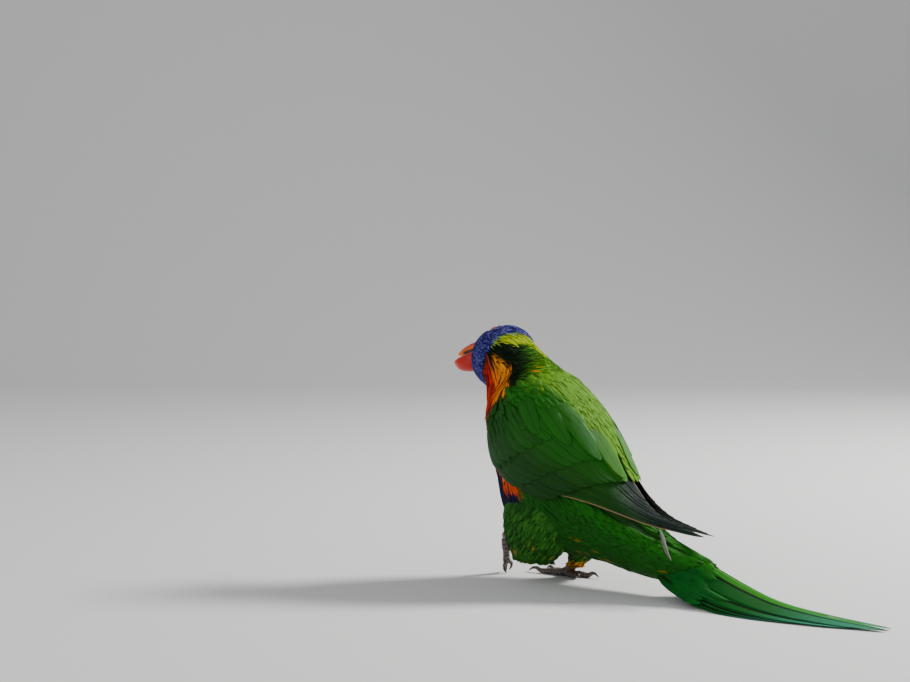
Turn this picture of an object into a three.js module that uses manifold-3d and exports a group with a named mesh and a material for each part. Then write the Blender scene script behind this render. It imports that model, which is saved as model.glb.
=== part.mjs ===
// A rainbow lorikeet at life size, standing in mid-step with its tail laid down behind it.
// Millimetres, +Z up. The bird faces -Y and its own left is +X. The origin is the middle of its
// bounding box on the floor. Points of the body's side view are [ahead, up], read from a mark on
// the floor under the bird, and each section also has a half-width to either side.

import * as THREE from "three";
import Module from "manifold-3d";
import { mergeVertices } from "three/addons/utils/BufferGeometryUtils.js";

const wasm = await Module();
wasm.setup();

// Driving dimensions
const GAP = 0.3; // clearance between neighbouring pieces
const AROUND = 28; // facets round the head, neck and torso
const ROUND_STEPS = [12, 8]; // facets round and along an eye or the cere
const BILL_AROUND = 12; // facets round a mandible
const HEAD_ROWS = 11;
const NECK_ROWS = 5;
const TORSO_ROWS = 22;
const WING_ROW = 0.68; // sections' lengths from one row of the folded wing to the next
const WING_COLUMNS = 7;
const HEAD_MIDDLE = [41.2, 117.2]; // centre of the head
const HEAD_YAW = 11; // degrees the face turns to the bird's right
const HEAD_PITCH = 5; // degrees the face looks up
const HEAD_ROLL = 58; // degrees the left cheek is raised
const BILL_OPEN = 36; // degrees the lower mandible hangs open
const BILL_RAISE = 17; // degrees the upper mandible lifts
const EYE_RADIUS = 4.4;
const LID_THICK = 0.9; // lids' skin over the eyeball
const LID_OPENING = 3.5; // radius of the opening between the lids
const WING_THICK = 2.2; // shell of the folded wing under its feathers
const WING_CORE = 0.2; // how far under the wing's surface that shell starts
const TAIL_TIP = -188; // how far ahead (so behind) the longest tail feather ends
const BOX_MIDDLE = { left: 0, ahead: -56.7 }; // where the bounding box has its middle

// Sections of the head, in the head's own frame: crown and chin [ahead, up], half-width
const HEAD_SECTIONS = [
  { top: [16, 5], under: [14, -10], width: 7 },
  { top: [13.5, 10.5], under: [11.5, -13], width: 11.2 },
  { top: [8, 15], under: [7.5, -17], width: 14.2 },
  { top: [0, 17.3], under: [1.5, -19.6], width: 16.4 },
  { top: [-8.5, 15.5], under: [-5, -21], width: 17.2 },
  { top: [-15, 11], under: [-9, -21], width: 16.8 },
];

// Sections of the neck and torso: back and breast [ahead, up], half-width, and the degrees by
// which the plumage is still wrung round after the turned head
const BODY_SECTIONS = [
  { top: [16, 118.3], under: [46, 90], width: 19.5, wring: 38 },
  { top: [7.8, 112.5], under: [45.5, 80], width: 24, wring: 20 },
  { top: [-5, 103], under: [43, 67], width: 26.5, wring: 6 },
  { top: [-17.5, 92], under: [38.5, 52], width: 27.5, wring: 0 },
  { top: [-28.5, 77.5], under: [33, 32.5], width: 27.5, wring: 0 },
  { top: [-37, 62], under: [18, 18.5], width: 25.5, wring: 0 },
  { top: [-44.5, 49], under: [-8, 15], width: 21.5, wring: 0 },
  { top: [-53, 38.5], under: [-31, 13], width: 17, wring: 0 },
  { top: [-66, 31.5], under: [-50, 9], width: 13.5, wring: 0 },
  { top: [-79, 26], under: [-67, 7.5], width: 11, wring: 0 },
  { top: [-96, 20.6], under: [-80, 9], width: 4.5, wring: 0 },
];

// Sections of the form that the folded wings wrap: back and belly [ahead, up], half-width, and
// the degrees from the back's midline at which the wing's inner and lower edges lie
const WING_SECTIONS = [
  { top: [9.5, 114], under: [48.5, 78.5], width: 26.5, inner: 58, lower: 90 },
  { top: [1.5, 109.5], under: [46.5, 71.5], width: 27.8, inner: 38, lower: 111 },
  { top: [-5.5, 105], under: [44.5, 65], width: 28.5, inner: 26, lower: 118 },
  { top: [-18.5, 94], under: [40, 50.5], width: 29.5, inner: 20, lower: 117 },
  { top: [-30, 79.5], under: [30, 34.5], width: 29.5, inner: 14, lower: 101 },
  { top: [-40, 63.5], under: [14, 22], width: 27.5, inner: 9, lower: 78 },
  { top: [-49.5, 50.5], under: [-12, 20], width: 23, inner: 7, lower: 63 },
  { top: [-62, 41.5], under: [-38, 20], width: 19, inner: 6, lower: 52 },
  { top: [-78, 36.5], under: [-68, 27], width: 12, inner: 6, lower: 60 },
  { top: [-89, 33.5], under: [-85, 28.5], width: 8.5, inner: 8, lower: 60 },
];

const NECK_AT = HEAD_SECTIONS.length - 1; // section at which the blue of the head ends
const TORSO_AT = NECK_AT + 2; // section at which the neck meets the shoulders
const TORSO_END = HEAD_SECTIONS.length + BODY_SECTIONS.length - 1;

const radians = THREE.MathUtils.degToRad;

// A point of the bird from its distances ahead, to the left and up
function at(ahead, left, up) {
  return new THREE.Vector3(left, -ahead, up);
}

// The turn that carries the head's own frame into place
const headTurn = new THREE.Matrix4()
  .makeTranslation(at(HEAD_MIDDLE[0], 0, HEAD_MIDDLE[1]))
  .multiply(new THREE.Matrix4().makeRotationZ(-radians(HEAD_YAW)))
  .multiply(new THREE.Matrix4().makeRotationX(-radians(HEAD_PITCH)))
  .multiply(new THREE.Matrix4().makeRotationY(-radians(HEAD_ROLL)));

// The point of a section at an angle from the back's midline, towards the bird's left
function sectionPoint(section, angle) {
  const top = at(section.top[0], 0, section.top[1]);
  const under = at(section.under[0], 0, section.under[1]);
  const turn = angle - radians(section.wring ?? 0);
  const point = top.clone().add(under).multiplyScalar(0.5);
  point.addScaledVector(top.sub(under), Math.cos(turn) / 2);
  point.x += Math.sin(turn) * section.width;
  return section.inHead ? point.applyMatrix4(headTurn) : point;
}

// A smooth run through four values, from the second to the third
function smooth(a, b, c, d, t) {
  const bend = 2 * a - 5 * b + 4 * c - d;
  return b + 0.5 * t * (c - a + t * (bend + t * (3 * (b - c) + d - a)));
}

// The point of a lofted form at a place along its sections and an angle round it
function formPoint(sections, along, angle) {
  const last = sections.length - 1;
  const first = Math.min(Math.max(Math.floor(along), 0), last - 1);
  const near = [-1, 0, 1, 2].map((step) => Math.min(Math.max(first + step, 0), last));
  const [a, b, c, d] = near.map((index) => sectionPoint(sections[index], angle));
  const t = along - first;
  return new THREE.Vector3(
    smooth(a.x, b.x, c.x, d.x, t),
    smooth(a.y, b.y, c.y, d.y, t),
    smooth(a.z, b.z, c.z, d.z, t),
  );
}

// A value given at each section, read smoothly between them
function alongSections(sections, along, read) {
  const last = sections.length - 1;
  const first = Math.min(Math.max(Math.floor(along), 0), last - 1);
  const near = [-1, 0, 1, 2].map((step) => Math.min(Math.max(first + step, 0), last));
  const [a, b, c, d] = near.map((index) => read(sections[index]));
  return smooth(a, b, c, d, along - first);
}

// A closed solid from rings of equally many points, with a fan over each end
function fromRings(rings) {
  const count = rings[0].length;
  const points = rings.flat();
  const faces = [];
  for (let ring = 0; ring + 1 < rings.length; ring += 1) {
    for (let step = 0; step < count; step += 1) {
      const next = (step + 1) % count;
      const a = ring * count + step;
      const b = ring * count + next;
      faces.push([a, b, b + count], [a, b + count, a + count]);
    }
  }
  for (const end of [0, rings.length - 1]) {
    const middle = new THREE.Vector3();
    rings[end].forEach((point) => middle.addScaledVector(point, 1 / count));
    points.push(middle);
    for (let step = 0; step < count; step += 1) {
      const edge = [end * count + step, end * count + ((step + 1) % count)];
      faces.push(end === 0 ? [points.length - 1, edge[1], edge[0]] : [points.length - 1, ...edge]);
    }
  }
  return solid(points, faces);
}

// A manifold solid from points and triangles, turned outward if it came inside out
function solid(points, faces) {
  let volume = 0;
  for (const [a, b, c] of faces) {
    volume += points[a].dot(points[b].clone().cross(points[c]));
  }
  const outward = volume > 0 ? faces : faces.map(([a, b, c]) => [a, c, b]);
  const geometry = new THREE.BufferGeometry();
  geometry.setAttribute("position", new THREE.Float32BufferAttribute(points.flatMap((p) => p.toArray()), 3));
  geometry.setIndex(outward.flat());
  return fromGeometry(geometry);
}

// A manifold solid from a closed three.js geometry
function fromGeometry(geometry) {
  const bare = geometry.clone();
  bare.deleteAttribute("normal");
  bare.deleteAttribute("uv");
  const merged = mergeVertices(bare, 1e-4);
  return new wasm.Manifold(
    new wasm.Mesh({
      numProp: 3,
      vertProperties: new Float32Array(merged.attributes.position.array),
      triVerts: new Uint32Array(merged.index.array),
    }),
  );
}

// Only the largest closed surface of a solid, without loose scraps or sealed hollows
function largest(shape) {
  return shape.decompose().sort((a, b) => Math.abs(b.volume()) - Math.abs(a.volume()))[0];
}

function join(shapes) {
  return shapes.reduce((whole, shape) => whole.add(shape));
}

function block(ahead, left, up) {
  const size = [left[1] - left[0], ahead[1] - ahead[0], up[1] - up[0]];
  const geometry = new THREE.BoxGeometry(...size);
  geometry.translate((left[0] + left[1]) / 2, -(ahead[0] + ahead[1]) / 2, (up[0] + up[1]) / 2);
  return fromGeometry(geometry);
}

// Everything below the floor, which no piece may reach
const belowFloor = block([-400, 400], [-200, 200], [-100, 0]);

// A tapering round limb through points that each carry a radius, with rounded ends
const LIMB_AROUND = 6;
const LIMB_END = { reach: 0.7, radius: 0.55 }; // of the radius at that end

function limb(points) {
  const places = points.map(([ahead, left, up]) => at(ahead, left, up));
  const radii = points.map((point) => point[3]);
  const rings = [];
  let side = new THREE.Vector3(1, 0, 0);
  const push = (centre, direction, radius) => {
    const across = side.clone().addScaledVector(direction, -side.dot(direction)).normalize();
    const over = direction.clone().cross(across);
    side = across;
    const ring = [];
    for (let step = 0; step < LIMB_AROUND; step += 1) {
      const angle = (2 * Math.PI * (step + 0.5)) / LIMB_AROUND;
      const spoke = across.clone().multiplyScalar(Math.cos(angle) * radius);
      ring.push(spoke.addScaledVector(over, Math.sin(angle) * radius).add(centre));
    }
    rings.push(ring);
  };
  const last = places.length - 1;
  places.forEach((place, index) => {
    const before = places[Math.max(index - 1, 0)];
    const after = places[Math.min(index + 1, last)];
    const direction = after.clone().sub(before).normalize();
    const cap = (way) => {
      const end = place.clone().addScaledVector(direction, way * radii[index] * LIMB_END.reach);
      push(end, direction, radii[index] * LIMB_END.radius);
    };
    if (index === 0) cap(-1);
    push(place, direction, radii[index]);
    if (index === last) cap(1);
  });
  return fromRings(rings);
}

// The loft of head, neck and torso, as one run of sections
const flesh = [
  ...HEAD_SECTIONS.map((section) => ({ ...section, inHead: true })),
  ...BODY_SECTIONS,
];

// A length of that loft, drawn in by half the gap where it meets the next one
function fleshPiece(from, to, steps, grow = 0) {
  const rings = [];
  for (let step = 0; step <= steps; step += 1) {
    const along = from + ((to - from) * step) / steps;
    const ring = [];
    for (let index = 0; index < AROUND; index += 1) {
      ring.push(formPoint(flesh, along, (2 * Math.PI * index) / AROUND));
    }
    rings.push(ring);
  }
  if (grow !== 0) {
    rings.forEach((ring) => {
      const middle = new THREE.Vector3();
      ring.forEach((point) => middle.addScaledVector(point, 1 / AROUND));
      ring.forEach((point) => point.addScaledVector(point.clone().sub(middle).normalize(), grow));
    });
  }
  const drawIn = (ring, neighbour) => {
    const normal = ring[0].clone().sub(ring[AROUND / 2]);
    normal.cross(ring[AROUND / 4].clone().sub(ring[(3 * AROUND) / 4])).normalize();
    if (normal.dot(neighbour[0].clone().sub(ring[0])) < 0) normal.negate();
    ring.forEach((point) => point.addScaledVector(normal, GAP / 2));
  };
  if (grow === 0) {
    drawIn(rings[0], rings[1]);
    drawIn(rings[steps], rings[steps - 1]);
  }
  return fromRings(rings);
}

// The eyes, in the head's frame: the middle of each eyeball and the way that it looks
const EYE_PLACE = [5, 10, 4];
const EYE_AIM = [0.42, 0.9, 0.1];

function eyeball(side, radius) {
  const [ahead, left, up] = EYE_PLACE;
  const ball = new THREE.SphereGeometry(radius, ...ROUND_STEPS);
  ball.applyMatrix4(new THREE.Matrix4().setPosition(at(ahead, side * left, up)));
  return fromGeometry(ball.applyMatrix4(headTurn));
}

// The opening between the lids, a round hole along the way that the eye looks
function lidOpening(side) {
  const [ahead, left, up] = EYE_PLACE;
  const [aimAhead, aimLeft, aimUp] = EYE_AIM;
  const aim = at(aimAhead, side * aimLeft, aimUp).normalize();
  const depth = 3 * EYE_RADIUS;
  const hole = new THREE.CylinderGeometry(LID_OPENING, LID_OPENING, depth, ROUND_STEPS[0]);
  hole.translate(0, depth / 2, 0);
  const turn = new THREE.Quaternion().setFromUnitVectors(new THREE.Vector3(0, 1, 0), aim);
  hole.applyQuaternion(turn);
  hole.applyMatrix4(new THREE.Matrix4().setPosition(at(ahead, side * left, up)));
  return fromGeometry(hole.applyMatrix4(headTurn));
}

// The cere, a fleshy band over the root of the upper bill, with a nostril on each side
const CERE_PLACE = [17, 0, 4.4];
const CERE_SIZE = [2.8, 5.2, 2.6];
const NOSTRIL = { ahead: 18.6, left: 2.3, up: 6.2, radius: 0.8 };

function cereForm(grow) {
  const [ahead, left, up] = CERE_PLACE;
  const [long, wide, high] = CERE_SIZE.map((size) => size + grow);
  const form = new THREE.SphereGeometry(1, ...ROUND_STEPS);
  form.applyMatrix4(new THREE.Matrix4().makeScale(wide, long, high));
  form.applyMatrix4(new THREE.Matrix4().setPosition(at(ahead, left, up)));
  return fromGeometry(form.applyMatrix4(headTurn));
}

function nostril(side) {
  const { ahead, left, up, radius } = NOSTRIL;
  const pit = new THREE.SphereGeometry(radius, 6, 4);
  pit.applyMatrix4(new THREE.Matrix4().setPosition(at(ahead, side * left, up)));
  return fromGeometry(pit.applyMatrix4(headTurn));
}

// The bill, in the head's own frame: ridge and cutting edge [ahead, up], half-width
const UPPER_SECTIONS = [
  { top: [16.6, 5.4], under: [15.4, -4], width: 6.3 },
  { top: [21.4, 4.2], under: [18.6, -5], width: 5.7 },
  { top: [25.8, 1.2], under: [21.4, -6], width: 4.8 },
  { top: [29.6, -3.2], under: [24.6, -7.8], width: 3.5 },
  { top: [31.2, -8.2], under: [27.4, -10], width: 2.2 },
  { top: [31, -12.2], under: [30, -12], width: 0.6 },
];
const LOWER_SECTIONS = [
  { top: [15.2, -4.6], under: [13.8, -10.6], width: 5.9 },
  { top: [19.4, -5], under: [17.6, -12.8], width: 5.6 },
  { top: [24, -5], under: [22.4, -12.8], width: 4.8 },
  { top: [28.2, -5.2], under: [27, -11], width: 3.4 },
  { top: [30.4, -5.4], under: [30.2, -7.4], width: 1.6 },
];

// A mandible, opened by a turn about the corner of the mouth
function mandible(sections, hinge, open) {
  const rings = [];
  const steps = (sections.length - 1) * 2;
  for (let step = 0; step <= steps; step += 1) {
    const ring = [];
    for (let index = 0; index < BILL_AROUND; index += 1) {
      ring.push(formPoint(sections, step / 2, (2 * Math.PI * index) / BILL_AROUND));
    }
    rings.push(ring);
  }
  const turn = new THREE.Matrix4()
    .makeTranslation(at(hinge[0], 0, hinge[1]))
    .multiply(new THREE.Matrix4().makeRotationX(radians(open)))
    .multiply(new THREE.Matrix4().makeTranslation(at(hinge[0], 0, hinge[1]).negate()));
  rings.flat().forEach((point) => point.applyMatrix4(turn).applyMatrix4(headTurn));
  return fromRings(rings);
}

// The folded wing: a shell over the form that both wings wrap, on one side of it
function wingSurface(side, along, across, lift) {
  const inner = alongSections(WING_SECTIONS, along, (section) => section.inner);
  const lower = alongSections(WING_SECTIONS, along, (section) => section.lower);
  const angle = radians(inner + (lower - inner) * across);
  const small = 0.02;
  const point = formPoint(WING_SECTIONS, along, angle);
  const forward = formPoint(WING_SECTIONS, along + small, angle);
  forward.sub(formPoint(WING_SECTIONS, along - small, angle));
  const round = formPoint(WING_SECTIONS, along, angle + small);
  round.sub(formPoint(WING_SECTIONS, along, angle - small));
  const normal = round.cross(forward).normalize();
  point.addScaledVector(normal, lift);
  point.x *= side;
  return point;
}

function wingShell({ side, from, rows, outside, inside, margin = 0 }) {
  const layers = [outside, inside].map((lift) => {
    const grid = [];
    for (let row = 0; row <= rows; row += 1) {
      const along = from + row * WING_ROW;
      for (let column = 0; column <= WING_COLUMNS; column += 1) {
        const across = -margin + ((1 + 2 * margin) * column) / WING_COLUMNS;
        grid.push(wingSurface(side, along, across, lift));
      }
    }
    return grid;
  });
  return fromSheet(layers[0], layers[1], rows, WING_COLUMNS);
}

// A closed sheet from its outer and inner grids of points, split alike on both faces
function fromSheet(outer, inner, rows, columns) {
  const wide = columns + 1;
  const count = outer.length;
  const faces = [];
  for (let row = 0; row < rows; row += 1) {
    for (let column = 0; column < columns; column += 1) {
      const a = row * wide + column;
      const quad = [[a, a + 1, a + wide + 1], [a, a + wide + 1, a + wide]];
      quad.forEach(([p, q, r]) => faces.push([p, q, r], [p + count, r + count, q + count]));
    }
  }
  const rim = [];
  for (let column = 0; column < columns; column += 1) rim.push(column);
  for (let row = 0; row < rows; row += 1) rim.push(row * wide + columns);
  for (let column = columns; column > 0; column -= 1) rim.push(rows * wide + column);
  for (let row = rows; row > 0; row -= 1) rim.push(row * wide);
  rim.forEach((a, index) => {
    const b = rim[(index + 1) % rim.length];
    faces.push([b, a, a + count], [b, a + count, b + count]);
  });
  return solid([...outer, ...inner], faces);
}

// A feather's vane laid on a surface from its root to its tip, each [along, across] it. Its
// half-width follows one outline, and its lift off the surface is given at root, middle and tip.
// A bed is the lift at which its underside stays sunk in the shell under it.
const VANE_OUTLINE = [
  [0, 0.7],
  [0.42, 1],
  [0.8, 0.9],
  [1, 0.32],
];
const VANE_THICK = 0.8;
const VANE_TILT = 0.5; // how much higher one long edge lies, to overlap the next feather

function vane(surface, { root, tip, halfWidth, lifts, bed }) {
  const grids = [[], []];
  for (const [part, wide] of VANE_OUTLINE) {
    const along = root[0] + (tip[0] - root[0]) * part;
    const across = root[1] + (tip[1] - root[1]) * part;
    const half = part < 0.5 ? 0 : 1;
    const lift = lifts[half] + (lifts[half + 1] - lifts[half]) * (part * 2 - half);
    const [one, other] = [-0.05, 0.05].map((step) => surface(along, across + step, lift));
    const perMillimetre = 0.1 / one.distanceTo(other);
    for (const edge of [-1, 0, 1]) {
      const place = across + edge * wide * halfWidth * perMillimetre;
      const top = lift + edge * VANE_TILT * part;
      grids[0].push(surface(along, place, top));
      grids[1].push(surface(along, place, Math.min(bed ?? top, top - VANE_THICK)));
    }
  }
  return fromSheet(grids[0], grids[1], VANE_OUTLINE.length - 1, 2);
}

// A value from a first to a last over the feathers of a tier, counted from its inner edge
function spread([first, last], index, count) {
  return first + ((last - first) * index) / Math.max(count - 1, 1);
}

// The tiers of a folded wing from its tip forward. Roots and tips run from the inner feather to
// the one at the lower edge, by place along the wing's form and across it.
const BED = -1.1;
const WING_TIERS = [
  {
    count: 6,
    root: [[4.6, 4.4], [0.5, 0.9]],
    tip: [[7.5, 9.1], [0.1, 0.42]],
    halfWidth: 4.4,
    lifts: [-0.7, 0.3, 0.3],
    sink: 0.35,
  },
  {
    count: 6,
    root: [[3.9, 3.7], [0.12, 0.86]],
    tip: [[7.2, 6.1], [0.24, 0.8]],
    halfWidth: 6.6,
    lifts: [-0.6, 0.8, 1.2],
    sink: 0.05,
    bed: BED,
  },
  {
    count: 6,
    root: [[3, 2.8], [0.1, 0.92]],
    tip: [[5.2, 4.6], [0.12, 0.88]],
    halfWidth: 6.4,
    lifts: [-0.6, 0.9, 1.6],
    sink: 0,
    bed: BED,
  },
  {
    count: 5,
    root: [[2.1, 1.9], [0.1, 0.92]],
    tip: [[3.9, 3.5], [0.12, 0.92]],
    halfWidth: 6.8,
    lifts: [-0.6, 0.9, 1.6],
    sink: 0,
    bed: BED,
  },
  {
    count: 5,
    root: [[1.2, 1.1], [0.12, 0.9]],
    tip: [[2.9, 2.5], [0.12, 0.91]],
    halfWidth: 6,
    lifts: [-0.6, 0.9, 1.6],
    sink: 0,
    bed: BED,
  },
];

function wingVanes(side) {
  const surface = (along, across, lift) => {
    const point = wingSurface(side, along, across, lift);
    point.x = side * Math.max(side * point.x, GAP);
    return point;
  };
  return WING_TIERS.flatMap(({ count, root, tip, halfWidth, lifts, sink, bed }) =>
    Array.from({ length: count }, (_, index) =>
      vane(surface, {
        root: root.map((range) => spread(range, index, count)),
        tip: tip.map((range) => spread(range, index, count)),
        halfWidth,
        lifts: lifts.map((lift) => lift - sink * index),
        bed,
      }),
    ),
  );
}

// The tail: a low roof of feathers, its ridge sinking to the floor and its sides spread
const TAIL_SECTIONS = [
  { ahead: -66, ridge: 27, edge: 12, width: 10, sway: 0 },
  { ahead: -80, ridge: 24, edge: 6, width: 14, sway: 0.5 },
  { ahead: -96, ridge: 19.4, edge: 2.6, width: 18, sway: 1.5 },
  { ahead: -113, ridge: 13.4, edge: 1.2, width: 20, sway: 3 },
  { ahead: -133, ridge: 7.4, edge: 0.9, width: 19, sway: 4 },
  { ahead: -158, ridge: 3.8, edge: 0.7, width: 16.5, sway: 3 },
  { ahead: TAIL_TIP, ridge: 1.4, edge: 0.7, width: 8, sway: 1 },
];

// Six pairs of tail feathers, the middle pair longest and on top. On each side of the ridge they
// lie on one slope, each starting further out and a step deeper than the one over it.
const TAIL_PAIRS = 6;
const TAIL_TIPS = [6, 3.6]; // ends of the middle and outer pairs along the tail's sections
const TAIL_STATIONS = [0.3, 1, 1.5, 2, 2.5, 3, 3.5, 4.2, 5];
const TAIL_STEP = 0.55;
const TAIL_EDGES = [0.53, 0.98]; // outer edges of the middle and outer pairs, of half the width
const TAIL_MIDDLE_INNER = -0.03;
const TAIL_OTHER_WIDTH = 0.33;
const TAIL_OUTLINE = [
  [0.9, 1],
  [0.3, 0.8],
  [0, 0.3],
];

function tailVane(side, pair) {
  const tip = spread(TAIL_TIPS, pair, TAIL_PAIRS);
  const stations = TAIL_STATIONS.filter((along) => along < tip - TAIL_OUTLINE[0][0] - 0.1);
  const rows = [
    ...stations.map((along) => [along, 1]),
    ...TAIL_OUTLINE.map(([beforeTip, wide]) => [tip - beforeTip, wide]),
  ];
  const outer = spread(TAIL_EDGES, pair, TAIL_PAIRS);
  const inner = pair === 0 ? TAIL_MIDDLE_INNER : outer - TAIL_OTHER_WIDTH;
  const middle = (outer + inner) / 2;
  const grids = [[], []];
  for (const [along, wide] of rows) {
    const read = (key) => alongSections(TAIL_SECTIONS, along, (section) => section[key]);
    for (const edge of [outer, inner]) {
      const place = middle + (edge - middle) * wide;
      const up = read("ridge") + (read("edge") - read("ridge")) * place - TAIL_STEP * pair;
      const top = at(read("ahead"), read("sway") + side * place * read("width"), up);
      grids[0].push(top);
      grids[1].push(top.clone().add(at(0, 0, -VANE_THICK)));
    }
  }
  return fromSheet(grids[0], grids[1], rows.length - 1, 1);
}

// Feathered thighs: rings [ahead, left, up, half-length, half-width] from hip to hem
const LEFT_THIGH = [
  [3, 13, 50, 21, 12],
  [4, 14.5, 38, 22.5, 12.5],
  [5.2, 15, 27, 21.3, 11.5],
  [7.2, 14, 18, 17.3, 9.5],
  [10, 12.5, 11.5, 11.5, 6],
];
const RIGHT_THIGH = [
  [-8, -12, 44, 16, 11],
  [-7, -13, 32, 15.5, 11],
  [-5, -13, 22, 13, 10],
  [-3, -12.6, 15, 9, 7.5],
  [-0.5, -12.4, 9.5, 6, 5.4],
  [2, -12.3, 6.6, 4, 4],
];

const THIGH_AROUND = 16;

function thigh(rings) {
  return fromRings(
    rings.map(([ahead, left, up, long, wide]) => {
      const ring = [];
      for (let step = 0; step < THIGH_AROUND; step += 1) {
        const angle = (2 * Math.PI * step) / THIGH_AROUND;
        ring.push(at(ahead + Math.cos(angle) * long, left + Math.sin(angle) * wide, up));
      }
      return ring;
    }),
  );
}

// A toe from the ball of the foot to its claw: how far along in toe lengths, height, radius
const TOE_PROFILE = [
  [0, 3, 2.5],
  [0.3, 1.6, 1.95],
  [0.5, 1.9, 1.65],
  [0.72, 1.35, 1.65],
  [0.88, 1.6, 1.3],
  [1, 2.6, 1.1],
  [1.15, 2.4, 0.8],
  [1.27, 0.6, 0.35],
];

// Each foot: shank points [ahead, left, up, radius], then toes by the way they point from
// straight ahead, in degrees to the left, their length, and how far they hang down
const FEET = {
  left: {
    ball: [36.8, 3.4, 18.6],
    shank: [[25, 8, 19, 2.5], [31, 6, 21.7, 2.4], [36.2, 3.8, 20.6, 2.6]],
    toes: [
      { heading: -50, length: 15, hang: 72 },
      { heading: 0, length: 14.4, hang: 84 },
      { heading: 110, length: 11, hang: 78 },
      { heading: 215, length: 13, hang: 76 },
    ],
  },
  right: {
    ball: [7, -12.2, 0],
    shank: [[-3, -12.4, 14, 2.5], [1.4, -12.4, 8, 2.3], [6.2, -12.2, 3.8, 2.5]],
    toes: [
      { heading: 8, length: 19, hang: 0 },
      { heading: -18, length: 16, hang: 0 },
      { heading: 158, length: 10, hang: 0 },
      { heading: 196, length: 14, hang: 0 },
    ],
  },
};

function toe({ ball, heading, length, hang }) {
  const rootUp = hang === 0 ? 0 : TOE_PROFILE[0][1];
  return limb(
    TOE_PROFILE.map(([along, up, radius]) => {
      const out = along * length;
      const over = up - rootUp;
      const level = out * Math.cos(radians(hang)) + over * Math.sin(radians(hang));
      const high = over * Math.cos(radians(hang)) - out * Math.sin(radians(hang));
      const toAhead = level * Math.cos(radians(heading));
      const toLeft = level * Math.sin(radians(heading));
      return [ball[0] + toAhead, ball[1] + toLeft, ball[2] + high, radius];
    }),
  );
}

function foot({ ball, shank, toes }) {
  const whole = join([limb(shank), ...toes.map((each) => toe({ ball, ...each }))]);
  return largest(whole.subtract(belowFloor));
}

// Materials
const colour = {
  blue: [0x3a3fae, 0.7],
  collar: [0x9fc02a, 0.7],
  green: [0x2f8f1e, 0.7],
  wing: [0x1f7a26, 0.65],
  cere: [0x6d6a70, 0.6],
  bill: [0xe8431c, 0.35],
  eye: [0x8e2a14, 0.1],
  leg: [0x4b4a4c, 0.6],
};

const bird = new THREE.Group();

function place(name, shape, [tint, roughness]) {
  const { vertProperties, triVerts } = shape.getMesh();
  const geometry = new THREE.BufferGeometry();
  geometry.setAttribute("position", new THREE.BufferAttribute(new Float32Array(vertProperties), 3));
  geometry.setIndex(new THREE.BufferAttribute(new Uint32Array(triVerts), 1));
  geometry.computeVertexNormals();
  const material = new THREE.MeshStandardMaterial({ color: tint, roughness, metalness: 0 });
  const mesh = new THREE.Mesh(geometry, material);
  mesh.name = name;
  bird.add(mesh);
}

// Head with its lids, neck and torso
const sides = [1, -1];
const lids = join(sides.map((side) => eyeball(side, EYE_RADIUS + LID_THICK)));
const sockets = join(sides.flatMap((side) => [eyeball(side, EYE_RADIUS + GAP), lidOpening(side)]));
const head = largest(fleshPiece(0, NECK_AT, HEAD_ROWS).add(lids).subtract(sockets));
const neck = fleshPiece(NECK_AT, TORSO_AT, NECK_ROWS);
const coreSpan = { from: 0.37, rows: 10, outside: -WING_CORE, inside: 0.1 - WING_THICK };
const wingSpan = { from: 0.35, rows: 13, outside: 5, inside: -WING_THICK, margin: 0.004 };
const bedSpan = { from: 0.3, rows: 13, outside: 6, inside: -WING_THICK - GAP, margin: 0.012 };
const wingBeds = join(sides.map((side) => wingShell({ side, ...bedSpan })));
const torso = largest(fleshPiece(TORSO_AT, TORSO_END, TORSO_ROWS).subtract(wingBeds));
place("head", head, colour.blue);
place("neck", largest(neck.subtract(wingBeds)), colour.collar);
place("torso", torso, colour.green);

// Eyes and bill
place("eye_left", eyeball(1, EYE_RADIUS), colour.eye);
place("eye_right", eyeball(-1, EYE_RADIUS), colour.eye);
const mouthCorner = [15, -4.3];
const grownHead = fleshPiece(0, NECK_AT, HEAD_ROWS, GAP);
const upperBill = mandible(UPPER_SECTIONS, mouthCorner, -BILL_RAISE);
const lowerBill = mandible(LOWER_SECTIONS, mouthCorner, BILL_OPEN);
place("cere", largest(cereForm(0).subtract(grownHead).subtract(join(sides.map(nostril)))), colour.cere);
place("bill_upper", largest(upperBill.subtract(cereForm(GAP)).subtract(grownHead)), colour.bill);
place("bill_lower", largest(lowerBill.subtract(grownHead)), colour.bill);

// Wings
for (const [name, side] of [["wing_left", 1], ["wing_right", -1]]) {
  const shell = wingShell({ side, ...coreSpan });
  const whole = join([shell, ...wingVanes(side)]).intersect(wingShell({ side, ...wingSpan }));
  place(name, largest(whole), colour.wing);
}

// Tail, cut clear of the torso that it leaves
const grownTorso = fleshPiece(TORSO_AT, TORSO_END, TORSO_ROWS, GAP);
const pairs = Array.from({ length: TAIL_PAIRS }, (_, pair) => pair);
const tail = join(pairs.flatMap((pair) => sides.map((side) => tailVane(side, pair))));
place("tail", largest(tail.subtract(grownTorso.add(wingBeds)).subtract(belowFloor)), colour.green);

// Legs
for (const [side, rings] of [["left", LEFT_THIGH], ["right", RIGHT_THIGH]]) {
  const shankBed = limb(FEET[side].shank.map((point) => [...point.slice(0, 3), point[3] + GAP]));
  const whole = thigh(rings).subtract(grownTorso).subtract(wingBeds).subtract(shankBed);
  place(`thigh_${side}`, largest(whole), colour.green);
  place(`foot_${side}`, foot(FEET[side]), colour.leg);
}

bird.position.set(-BOX_MIDDLE.left, BOX_MIDDLE.ahead, 0);

export default bird;
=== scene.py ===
import math

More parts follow.
